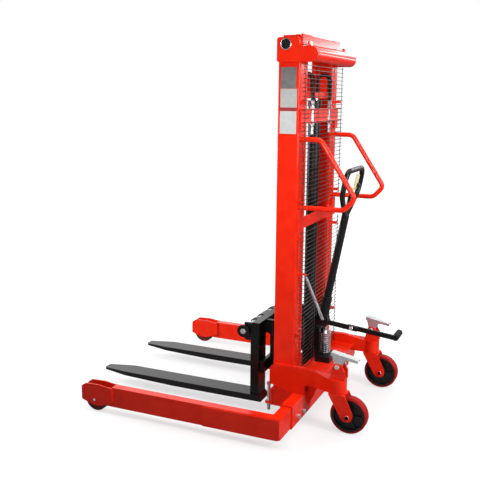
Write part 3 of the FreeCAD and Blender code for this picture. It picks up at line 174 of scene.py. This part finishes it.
# %% Wheel, rubber and plastic finishes
finishes.update({
    # Matt rubber with a coarse grain, so that the ribs of the foot pad read as soft.
    "pad_rubber": surface("ribbed rubber", "#0e0e10", "#161618", 10, 0.6, bump=0.1),
    # Dull red, without the frame's sheen.
    "wheel_tread": surface("red polyurethane tread", "#9c0f0e", "#a81211", 30, 0.5, bump=0.02, gloss=0.12),
    # Sand-cast iron under thin black paint: a pebbled skin.
    "wheel_core": surface("dark wheel casting", "#0d0d0e", "#161618", 12, 0.45, bump=0.08),
    # A darker, duller brown red than the castor tread.
    "load_wheel_tread": surface("dark red polyurethane", "#5c1011", "#6e1515", 30, 0.4, bump=0.02),
    # Cream moulded plastic, slightly yellowed.
    "lever_plastic": surface("pale lever plastic", "#dcd9a0", "#e6e3b2", 25, 0.35, bump=0.02),
})
print(len(finishes), "finishes in all")

# %% [markdown]
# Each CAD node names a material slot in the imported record, and the finishes carry the same names. The CAD
# meshes sit at the origin with their place in the mesh, so Object coordinates give one continuous pattern
# over the whole machine.

# %% Finishes on the frame
slot_of = {row["node"]: row["material_slot"] for row in frame["record"]["subparts"]}
for name, node in frame["nodes"].items():
    node.data.materials.clear()
    node.data.materials.append(finishes[slot_of[name]])
print("finished", len(slot_of), "nodes")

# %% [markdown]
# New pieces start from a primitive, are shaped in edit mode or by modifiers, and are then settled:
# modifiers and place are applied, so the object ends at the origin like a CAD node. Operators act on
# whatever is selected, and loading leaves the whole frame selected, so one tool makes sure that a single
# object is selected and active.


# %% Piece tools
def corners(node):
    """The lowest and highest corner of a CAD node at rest."""
    return [Vector(corner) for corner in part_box(node)]


def only(obj):
    """Selects one object and nothing else."""
    bpy.ops.object.select_all(action="DESELECT")
    obj.select_set(True)
    bpy.context.view_layer.objects.active = obj


def settle(obj):
    """Applies the modifiers and the place, so the object sits at the origin."""
    only(obj)
    for modifier in list(obj.modifiers):
        bpy.ops.object.modifier_apply(modifier=modifier.name)
    bpy.ops.object.transform_apply(location=True, rotation=True, scale=True)
    return obj


def rounded(obj, width, segments=1):
    """Rounds the edges of a settled piece with a bevel."""
    bevel = obj.modifiers.new("round", "BEVEL")
    bevel.width = width
    bevel.segments = segments
    return settle(obj)


def joined(name, pieces):
    """Joins pieces of one finish and one body into a single mesh."""
    only(pieces[0])
    for piece in pieces[1:]:
        piece.select_set(True)
    bpy.ops.object.join()
    pieces[0].name = name
    return pieces[0]


def dress(obj, slot, body=None):
    """Gives a piece its finish and, when a body is named, the body that it moves with."""
    obj.data.materials.clear()
    obj.data.materials.append(finishes[slot])
    if body:
        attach(obj, body)
    return obj


# %% [markdown]
# Two shapes come up again and again: a block with rounded edges, and a round bar along the X axis, which
# is the direction of every axle on this machine. Both are plain primitives that get their edges broken,
# because no real plate or bar has a perfectly sharp edge.


# %% Blocks and bars
quarter_turn = math.pi / 2


def block(name, low, high, round_off):
    """A box between two corners, with its edges rounded."""
    low, high = Vector(low), Vector(high)
    bpy.ops.mesh.primitive_cube_add(size=1, location=(low + high) / 2)
    obj = bpy.context.object
    obj.name = name
    obj.scale = high - low
    return rounded(settle(obj), round_off, segments=2)


def bar(name, place, length, radius, sides):
    """A bar along X with its middle at a place; six sides make a hexagon."""
    bpy.ops.mesh.primitive_cylinder_add(vertices=sides, radius=radius, depth=length, location=place,
                                        rotation=(0, quarter_turn, 0))
    obj = bpy.context.object
    obj.name = name
    return settle(obj)


# %% [markdown]
# The guard keeps hands out of the mast. It is a welded net of thin wires: level wires every 20 mm, each
# with its ends bent forwards, on four uprights. The CAD solid is a coarser net, and these wires stand in
# for it. A net could be a grid with a Wireframe modifier, but straight wires that lie on each other look
# welded, as the real ones do, and each can stop short of what stands in its way.

# %% Measure the guard's place
mesh_low, mesh_high = corners("mesh_guard")
crossbar_low, crossbar_high = corners("middle_crossbar")
handle_low, handle_high = corners("side_handle_left")
mesh_y = (mesh_low.y + mesh_high.y) / 2
handle_r = (handle_high.x - handle_low.x) / 2
spring_post_z = 0.735
feet_z = (handle_low.z + handle_r, handle_high.z - handle_r, spring_post_z)
pump_notch_half = 0.088
pump_notch_top = 0.47
print("guard from", round(mesh_low.z, 3), "to", round(mesh_high.z, 3))

# %% One guard wire
wire_r = 0.0016
wire_sides = 6


def guard_wire(start, end):
    """One straight wire between two points."""
    start, end = Vector(start), Vector(end)
    bpy.ops.mesh.primitive_cylinder_add(vertices=wire_sides, radius=wire_r, depth=(end - start).length)
    obj = bpy.context.object
    turn = (end - start).to_track_quat("Z", "Y").to_matrix().to_4x4()
    obj.matrix_world = Matrix.Translation((start + end) / 2) @ turn
    return settle(obj)


# %% The wires of the guard
wire_room = 0.004
level_step = 0.020
overhang = 0.014
bent_end = 0.010


def level_wires(z):
    """The wires at one height: none behind the crossbar, short ones at a foot, two beside the pump."""
    if crossbar_low.z - wire_room < z < crossbar_high.z + wire_room:
        return []
    reach = mesh_high.x + overhang
    if min(abs(z - foot) for foot in feet_z) < handle_r + wire_room:
        reach = handle_low.x - 2 * wire_room
    y = mesh_y + wire_r
    sides = (-1, 1)
    wires = [guard_wire((side * reach, y, z), (side * reach, y - bent_end, z)) for side in sides]
    if z > pump_notch_top:
        return wires + [guard_wire((-reach, y, z), (reach, y, z))]
    return wires + [guard_wire((side * pump_notch_half, y, z), (side * reach, y, z)) for side in sides]


def uprights():
    """Four uprights in front of the level wires, each broken at the crossbar."""
    edge = mesh_high.x + wire_r + wire_room / 2
    y = mesh_y - wire_r
    wires = []
    for x in (-edge, -edge / 3, edge / 3, edge):
        wires.append(guard_wire((x, y, mesh_low.z), (x, y, crossbar_low.z - wire_room)))
        wires.append(guard_wire((x, y, crossbar_high.z + wire_room), (x, y, mesh_high.z)))
    return wires


# %% Weld the guard
level_count = int((mesh_high.z - mesh_low.z) / level_step) + 1
guard_pieces = []
for k in range(level_count):
    guard_pieces += level_wires(mesh_low.z + k * level_step)
guard = dress(joined("guard_wires", guard_pieces + uprights()), "mesh_wire", "chassis")
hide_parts("mesh_guard")
print("guard:", level_count, "levels,", len(guard.data.polygons), "faces")

# %% [markdown]
# Two leaf chains lift the carriage. A leaf chain has no rollers: it is plates laced on pins, three outer
# plates against two inner ones, half a link apart. One plate and one pin are modelled and an Array
# repeats them, which keeps every link alike. Each chain runs from its anchor on the upper crossbar up to a
# pulley, over it and down to the carriage.

# %% Measure the chains
pulley_low, pulley_high = corners("chain_pulleys")
front_low, front_high = corners("chain_front")
rear_low = corners("chain_rear")[0]
pulley_y = (pulley_low.y + pulley_high.y) / 2
pulley_z = (pulley_low.z + pulley_high.z) / 2
chain_half = 0.010
chain_x = front_high.x - chain_half
chain_turn_r = 0.033
print("pulley axis at height", round(pulley_z, 3), "chains at", round(chain_x, 3), "from the middle")

# %% Chain plate and pin
half_pitch = 0.0127
leaf_t = 0.0026
leaf_w = 0.0125
leaf_round = 0.003
leaf_step = 0.0042
outer_leaves = (-2 * leaf_step, 0.0, 2 * leaf_step)
inner_leaves = (-leaf_step, leaf_step)
pin_r = 0.0028
pin_length = 0.0196
pin_sides = 10


def leaf(x, y, low, high):
    """One chain plate between two heights."""
    near, far = (x - leaf_t / 2, y - leaf_w / 2), (x + leaf_t / 2, y + leaf_w / 2)
    return block("leaf", (*near, low), (*far, high), leaf_round)


def repeated(obj, count, step):
    """Repeats a piece upwards."""
    array = obj.modifiers.new("links", "ARRAY")
    array.count = count
    array.use_relative_offset = False
    array.use_constant_offset = True
    array.constant_offset_displace = (0, 0, step)
    return settle(obj)


# %% Straight chain and its turn
turn_links = 5


def strand(name, x, y, low, high):
    """A straight run of chain between two heights."""
    links = max(2, int((high - low) / (2 * half_pitch)))
    pitch = (high - low) / links
    leaf_length = 2 * half_pitch + leaf_w / 2
    half_way = low + pitch / 2
    pieces = [repeated(leaf(x + off, y, low, low + leaf_length), links, pitch) for off in outer_leaves]
    for off in inner_leaves:
        pieces.append(repeated(leaf(x + off, y, half_way, half_way + leaf_length), links - 1, pitch))
    pin = bar("pin", (x, y, low + leaf_w / 2), pin_length, pin_r, pin_sides)
    return joined(name, pieces + [repeated(pin, 2 * links - 1, pitch / 2)])


def turn_over(name, x):
    """The half turn of chain over the pulley."""
    pieces = []
    for k in range(turn_links):
        angle = math.pi * (k + 0.5) / turn_links
        place = Matrix.Translation((x, pulley_y, pulley_z)) @ Matrix.Rotation(angle, 4, "X")
        for off in outer_leaves if k % 2 else inner_leaves:
            plate = leaf(off, chain_turn_r, -half_pitch, half_pitch)
            plate.matrix_world = place
            pieces.append(settle(plate))
    return joined(name, pieces)


# %% [markdown]
# A real chain runs over its pulley as the mast rises. A mesh can't run, so each straight strand is set in
# place and joined to no body, while the turn rides up with the inner mast.

# %% Lace the chains
rear_y = pulley_y + chain_turn_r
front_y = pulley_y - chain_turn_r
for side, name in ((1, "left"), (-1, "right")):
    x = side * chain_x
    rear = dress(strand("rear_chain_" + name, x, rear_y, rear_low.z, pulley_z), "oiled_steel")
    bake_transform(rear)
    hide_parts("chain_rear")
    front = dress(strand("front_chain_" + name, x, front_y, front_low.z, pulley_z), "oiled_steel")
    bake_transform(front)
    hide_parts("chain_front")
    dress(turn_over("chain_turn_" + name, x), "oiled_steel", "inner_mast")
    print(name, "chain:", len(rear.data.polygons) + len(front.data.polygons), "faces")

# %% [markdown]
# The pump's return spring stands under the plunger's cap and shortens with it. A long thin spring runs
# from a post on the mast to the rocker and pulls the tiller upright. A coil could be a curve with a
# bevel, but a circle carried round by the Screw modifier gives an even mesh at once. The Screw leaves
# both ends open, so they are filled and the faces are turned outwards.

# %% A coil
coil_sides = 8
coil_steps = 16


def spring(name, foot, top, radius, wire, turns):
    """A coil of round wire between two points."""
    axis = top - foot
    bpy.ops.mesh.primitive_circle_add(vertices=coil_sides, radius=wire, location=(radius, 0, 0),
                                      rotation=(quarter_turn, 0, 0))
    obj = settle(bpy.context.object)
    obj.name = name
    screw = obj.modifiers.new("coil", "SCREW")
    screw.axis = "Z"
    screw.angle = 2 * math.pi
    screw.iterations = turns
    screw.screw_offset = axis.length / turns
    screw.steps = coil_steps
    screw.render_steps = coil_steps
    settle(obj)
    obj.matrix_world = Matrix.Translation(foot) @ axis.to_track_quat("Z", "Y").to_matrix().to_4x4()
    settle(obj)
    bpy.ops.object.mode_set(mode="EDIT")
    bpy.ops.mesh.select_all(action="SELECT")
    bpy.ops.mesh.fill_holes(sides=coil_sides)
    bpy.ops.mesh.normals_make_consistent(inside=False)
    bpy.ops.object.mode_set(mode="OBJECT")
    bpy.ops.object.shade_smooth()
    return obj


# %% Return spring
coil_low, coil_high = corners("pump_spring")
coil_middle = (coil_low + coil_high) / 2
coil_r = 0.0245
coil_wire = 0.003
coil_turns = 9
coil_foot = Vector((coil_middle.x, coil_middle.y, coil_low.z + coil_wire))
coil_top = Vector((coil_middle.x, coil_middle.y, coil_high.z - coil_wire))
return_spring = spring("return_spring", coil_foot, coil_top, coil_r, coil_wire, coil_turns)
dress(return_spring, "spring_steel")
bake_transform(return_spring)
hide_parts("pump_spring")
print("return spring:", coil_turns, "turns over", round((coil_top - coil_foot).length, 3))

# %% Pull spring
pull_low, pull_high = corners("tiller_spring")
pull_r = 0.0063
pull_wire = 0.0012
pull_turns = 90
pull_foot = Vector((pull_low.x + pull_r, pull_high.y - pull_r, pull_low.z + pull_r))
pull_top = Vector((pull_high.x - pull_r, pull_low.y + pull_r, pull_high.z - pull_r))
pull_spring = spring("pull_spring", pull_foot, pull_top, pull_r, pull_wire, pull_turns)
dress(pull_spring, "spring_steel")
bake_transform(pull_spring)
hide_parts("tiller_spring")
print("pull spring:", pull_turns, "turns over", round((pull_top - pull_foot).length, 3))

# %% [markdown]
# The axles of the castors and load wheels, the brake pins and the pedal bar end in zinc-plated nuts. A nut
# is a six-sided bar whose edges are broken by a bevel; the thread is hidden, so it isn't drawn. The
# joints of the frame give the pins' places, and the boxes of the castor yokes and the brake brackets give
# the faces that the nuts sit on.

# %% Nuts on the castors and brakes
nut_r = 0.0115
nut_half = 0.0045
nut_round = 0.0012
nut_sides = 6
joint_place = {joint["name"]: Vector(joint["pos_m"]) for joint in frame["joints"]}


def nut(name, place, body, half=nut_half, radius=nut_r):
    """A hexagon nut or bolt head whose axis runs along X."""
    return dress(rounded(bar(name, place, 2 * half, radius, nut_sides), nut_round), "zinc_plate", body)


for side in ("left", "right"):
    core_low, core_high = corners("castor_core_" + side)
    yoke_low, yoke_high = corners("castor_yoke_" + side)
    bracket_low, bracket_high = corners("brake_bracket_" + side)
    axle = (core_low + core_high) / 2
    pin_place = joint_place["brake_" + side + "_press"]
    ends = (("in", yoke_low.x + nut_half, bracket_low.x), ("out", yoke_high.x - nut_half, bracket_high.x))
    for end, axle_x, pin_x in ends:
        nut("axle_nut_" + side + "_" + end, (axle_x, axle.y, axle.z), "castor_" + side)
        nut("brake_nut_" + side + "_" + end, (pin_x, pin_place.y, pin_place.z), "chassis")
print("axle and brake nuts on both sides")

# %% Nuts on the pedal bar and the load wheels
pedal_bolt_y = 0.551
pedal_bolt_z = 0.416
pedal_bolt_half = 0.002
load_nut_half = 0.003
load_nut_r = 0.008
pedal_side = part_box("pedal_bar")[1][0]
nut("bar_bolt", (pedal_side, pedal_bolt_y, pedal_bolt_z), "tiller", pedal_bolt_half)
leg_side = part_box("leg_left")[1][0]
for name, side in (("left", 1), ("right", -1)):
    wheel_low, wheel_high = corners("load_wheel_" + name)
    hub = (wheel_low + wheel_high) / 2
    nut("load_nut_" + name, (side * leg_side, hub.y, hub.z), "leg_" + name, load_nut_half, load_nut_r)
print("pedal bolt and load wheel nuts")

# %% [markdown]
# The shaft that carries the forks ends on each side in a round black cap with a boss and a nut, just
# clear of the fork's face so that the fork can still slide. A pale zinc ring round each head roller's dark
# end is a painted highlight: it stands for the light caught on the rim of the cheek's bore. A torus is
# squeezed along its axis to make it flat.

# %% Shaft caps
cap_r = 0.032
cap_t = 0.006
cap_gap = 0.0006
boss_r = 0.018
disc_round = 0.0015
disc_sides = 48
shaft_nut_r = 0.015
shaft_low, shaft_high = corners("fork_shaft")
shaft = (shaft_low + shaft_high) / 2
cap_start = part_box("fork_left")[1][0] + cap_gap


def disc(name, start, end, radius):
    """A round disc on the fork shaft between two places on X."""
    place = ((start + end) / 2, shaft.y, shaft.z)
    return rounded(bar(name, place, abs(end - start), radius, disc_sides), disc_round, segments=2)


for name, side in (("left", 1), ("right", -1)):
    cap = disc("cap", side * cap_start, side * (cap_start + cap_t), cap_r)
    boss = disc("boss", side * (shaft_high.x - cap_t), side * (cap_start + cap_t / 2), boss_r)
    dress(joined("shaft_cap_" + name, [cap, boss]), "black_paint", "carriage")
    nut("shaft_nut_" + name, (side * (cap_start + cap_t), shaft.y, shaft.z), "carriage", radius=shaft_nut_r)
print("caps on the fork shaft at", round(cap_start, 4))

# %% Painted highlight rings on the head rollers
ring_r = 0.0245
ring_wire = 0.0016
ring_flat = 0.7
roller_low, roller_high = corners("head_rollers")
roller = (roller_low + roller_high) / 2
# Each ring is a painted highlight: a pale zinc torus where the cheek's bore rim catches the light.
for name, x in (("left", roller_high.x), ("right", roller_low.x)):
    bpy.ops.mesh.primitive_torus_add(major_radius=ring_r, minor_radius=ring_wire, major_segments=48,
                                     minor_segments=8, location=(x, roller.y, roller.z),
                                     rotation=(0, quarter_turn, 0))
    ring = bpy.context.object
    ring.name = "roller_highlight_ring_" + name
    ring.scale.z = ring_flat
    dress(settle(ring), "zinc_plate", "head_rollers")
print("rings on the head rollers")

# %% [markdown]
# The release lever sits inside the loop grip: a pale plate that lowers the forks, with a black knob. It
# is modelled upright at the origin, where its sizes are easy to read, and then leaned and set on its pin.
# The knob starts as a ball: a bisect cuts it flat where it meets the plate, and an extrude draws the flat
# out as a neck.

# %% Release lever
lever_lean = math.radians(-10.46)
lever_half_t = 0.0032
lever_round = 0.002
lever_end_x = -0.100
lever_face_x = -0.045
lever_low_z = 0.006
lever_arm_z = 0.024
lever_top_z = 0.086
hub_half_x = 0.016
hub_half_y = 0.0085
hub_top_z = 0.012
hub_round = 0.003


def on_lever(obj):
    """Leans a piece made upright at the origin and sets it on the lever's pin."""
    pin = joint_place["release_lever_tilt"]
    obj.matrix_world = Matrix.Translation(pin) @ Matrix.Rotation(lever_lean, 4, "X")
    return settle(obj)


lever_corner = (lever_end_x, -lever_half_t, lever_low_z)
hub_corner = (-hub_half_x, -hub_half_y, -hub_half_y)
lever_hub = block("lever_hub", hub_corner, (hub_half_x, hub_half_y, hub_top_z), hub_round)
lever_arm = block("lever_arm", lever_corner, (hub_half_x, lever_half_t, lever_arm_z), lever_round)
lever_face = block("lever_face", lever_corner, (lever_face_x, lever_half_t, lever_top_z), lever_round)
lever = on_lever(joined("lever_plate", [lever_hub, lever_arm, lever_face]))
dress(lever, "lever_plastic", "release_lever")
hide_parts("release_lever")
print("release lever:", len(lever.data.polygons), "faces")

# %% Lever knob
knob_r = 0.010
knob_place = (-0.082, 0.0122, 0.032)
knob_cut = -0.7 * knob_r
knob_neck = -0.3 * knob_r
smooth_angle = math.radians(40)
bpy.ops.mesh.primitive_uv_sphere_add(segments=20, ring_count=12, radius=knob_r,
                                     rotation=(quarter_turn, 0, 0))
knob = settle(bpy.context.object)
knob.name = "lever_knob"
bpy.ops.object.mode_set(mode="EDIT")
bpy.ops.mesh.select_all(action="SELECT")
bpy.ops.mesh.bisect(plane_co=(0, knob_cut, 0), plane_no=(0, 1, 0), use_fill=True, clear_inner=True)
bpy.ops.mesh.extrude_region_move(TRANSFORM_OT_translate={"value": (0, knob_neck, 0)})
bpy.ops.object.mode_set(mode="OBJECT")
bpy.ops.object.shade_smooth_by_angle(angle=smooth_angle)
knob.location = knob_place
dress(on_lever(settle(knob)), "black_grip", "release_lever")
print("lever knob:", len(knob.data.polygons), "faces")

# %% [markdown]
# Three blank plates and a strip lie on the mast's near face. Each could be a patch of colour in the
# paint's material, but a thin sheet with broken edges catches the light at its rim, as a real plate does.
# It is sunk slightly into the paint, so that no light shows behind it. The places were read off the
# photograph.

# %% Blank plates
plate_sunk = 0.0005
plate_proud = 0.0006
plate_round = 0.0003
plate_grain_mm = 20
plate_rough = 0.4
mast_face_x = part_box("outer_channels")[1][0]


def plate(name, y, z, film, base, second):
    """A blank plate on the mast's near face, between two places on Y and two heights."""
    low = (mast_face_x - plate_sunk, y[0], z[0])
    obj = block(name, low, (mast_face_x + plate_proud, y[1], z[1]), plate_round)
    obj.data.materials.append(surface(film, base, second, plate_grain_mm, plate_rough))
    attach(obj, "chassis")


# All four are satin film: flat and even, with a soft sheen that is duller than the paint's.
plate("plate_upper", (0.252, 0.328), (1.614, 1.711), "grey plate", "#666263", "#726e6f")
plate("plate_middle", (0.252, 0.333), (1.528, 1.613), "pale plate", "#a9aba9", "#b5b7b4")
plate("plate_strip", (0.252, 0.333), (1.512, 1.527), "dark strip", "#8c1a1c", "#9a2022")
plate("plate_lower", (0.251, 0.332), (1.407, 1.511), "white plate", "#bcbebd", "#c6c8c7")
print("blank plates on the mast at", round(mast_face_x, 4))

# %% [markdown]
# The photograph is a studio shot on white. A white floor that is lit until it is white would throw so
# much light up that the red would wash out. So the floor is grey to the light, and the camera alone sees
# a glow added to it: weak near the machine, where soft shadows stay, and strong further off, where the
# floor turns pure white.

# %% Floor
floor_size = 40.0
floor_drop = 0.001
fade_start = 0.7
fade_end = 1.6
floor_glow = 0.64
white = "#ffffff"


def studio_floor():
    """A grey floor with a glow that only the camera sees."""
    material = surface("white studio floor", "#969696", "#9c9c9c", 900, 0.9, gloss=0.0)
    place = add(material, "ShaderNodeTexCoord")
    away = add(material, "ShaderNodeVectorMath", [(place, "Object", "Vector")], operation="LENGTH")
    fade = add(material, "ShaderNodeMapRange", [(away, "Value", "Value")],
               **{"From Min": fade_start, "From Max": fade_end, "To Min": floor_glow, "To Max": 1.0})
    path = add(material, "ShaderNodeLightPath")
    glow = add(material, "ShaderNodeMath", [(fade, "Result", 0), (path, "Is Camera Ray", 1)],
               operation="MULTIPLY")
    shader = next(node for node in material.node_tree.nodes if node.type == "BSDF_PRINCIPLED")
    shader.inputs["Emission Color"].default_value = colour(white)
    material.node_tree.links.new(glow.outputs["Value"], shader.inputs["Emission Strength"])
    return material


bpy.ops.mesh.primitive_plane_add(size=floor_size, location=(0, 0, -floor_drop))
floor = bpy.context.object
floor.name = "floor"
floor.data.materials.append(studio_floor())
print("floor", floor_size, "m wide")

# %% [markdown]
# The world does two jobs. The camera sees plain white, as a paper backdrop. Everything else sees a dim
# room that is brighter on the far side of the machine, so that tubes and edges get a pale rim there and
# the near faces keep their depth.

# %% World
bright_side = (-0.9, -0.4, 0.0)
room_light = {"From Min": -0.2, "From Max": 0.4, "To Min": 0.12, "To Max": 0.6}
world = bpy.data.worlds.new("studio")
bpy.context.scene.world = world
world.use_nodes = True
world.node_tree.nodes.clear()
path = add(world, "ShaderNodeLightPath")
place = add(world, "ShaderNodeTexCoord")
towards = add(world, "ShaderNodeVectorMath", [(place, "Generated", 0)], operation="DOT_PRODUCT")
towards.inputs[1].default_value = bright_side
strength = add(world, "ShaderNodeMapRange", [(towards, "Value", "Value")], **room_light)
room = add(world, "ShaderNodeBackground", [(strength, "Result", "Strength")], Color=colour(white))
backdrop = add(world, "ShaderNodeBackground", Color=colour(white), Strength=1.0)
seen = add(world, "ShaderNodeMixShader",
           [(path, "Is Camera Ray", 0), (room, "Background", 1), (backdrop, "Background", 2)])
add(world, "ShaderNodeOutputWorld", [(seen, "Shader", "Surface")])
print("white backdrop, room light", room_light["To Min"], "to", room_light["To Max"])

# %% [markdown]
# Seven soft boxes light the machine. The top and rear boxes do most of the work, and a side box with a
# narrow beam brightens the mast. The front box fills the legs. The panel and the two strips on the far
# side are there to be mirrored: they draw the long highlights on the head beam, the legs and the forks.


# %% Soft boxes
def softbox(name, place, target, size, power, spread=180):
    """A rectangular light at a place, turned to a target; a small spread keeps it to a beam."""
    light = bpy.data.lights.new(name, "AREA")
    light.spread = math.radians(spread)
    light.shape = "RECTANGLE"
    light.size, light.size_y = size
    light.energy = power
    lamp = bpy.data.objects.new(name, light)
    bpy.context.collection.objects.link(lamp)
    lamp.location = place
    lamp.rotation_euler = (Vector(target) - Vector(place)).to_track_quat("-Z", "Y").to_euler()


strip_size = (2.5, 0.2)
head_middle = (0.0, 0.4, 1.77)
softbox("side light", (3.2, 0.6, 1.6), (0.3, 0.1, 1.28), size=(1.0, 1.0), power=6.6, spread=50)
softbox("top light", (0.0, 0.3, 4.2), (0.0, 0.0, 0.0), size=(3.0, 3.0), power=85)
softbox("rear light", (0.9, 3.4, 2.2), (0.0, 0.3, 1.0), size=(1.2, 2.4), power=120)
softbox("front light", (0.6, -2.9, 1.2), (-0.5, -0.3, 0.1), size=(0.8, 0.8), power=14, spread=70)
softbox("far panel", (-3.2, -2.5, 1.5), (0.0, 0.0, 0.3), size=(2.6, 1.4), power=12)
softbox("lower strip", (-3.8, 1.5, 2.0), head_middle, size=strip_size, power=10)
softbox("upper strip", (-3.8, 0.9, 2.8), head_middle, size=strip_size, power=10)
print("seven soft boxes")

# %% [markdown]
# The camera stands where the photograph was taken from. Its place, lens and slight roll were worked out
# from the mast's edges, the legs and the wheels. The focal length was found in pixels of the photograph,
# and Blender wants millimetres on a sensor, so one is turned into the other. Colours are shown by the
# Standard transform, as shot.

# %% Camera
camera_place = Vector((3.5709, 1.5131, 1.5735))
camera_target = Vector((0.0192, -0.069, 0.8247))
camera_roll = math.radians(0.47)
focal_px = 742.04
photo_px = 480
sensor_mm = 36.0
camera_data = bpy.data.cameras.new("camera")
camera_data.sensor_width = sensor_mm
camera_data.lens = focal_px / photo_px * sensor_mm
camera = bpy.data.objects.new("camera", camera_data)
bpy.context.collection.objects.link(camera)
camera.location = camera_place
look = (camera_target - camera_place).to_track_quat("-Z", "Y").to_matrix()
camera.rotation_euler = (look @ Matrix.Rotation(camera_roll, 3, "Z")).to_euler()
bpy.context.scene.camera = camera
bpy.context.scene.view_settings.view_transform = "Standard"
print("camera", round((camera_target - camera_place).length, 3), "m from its target")
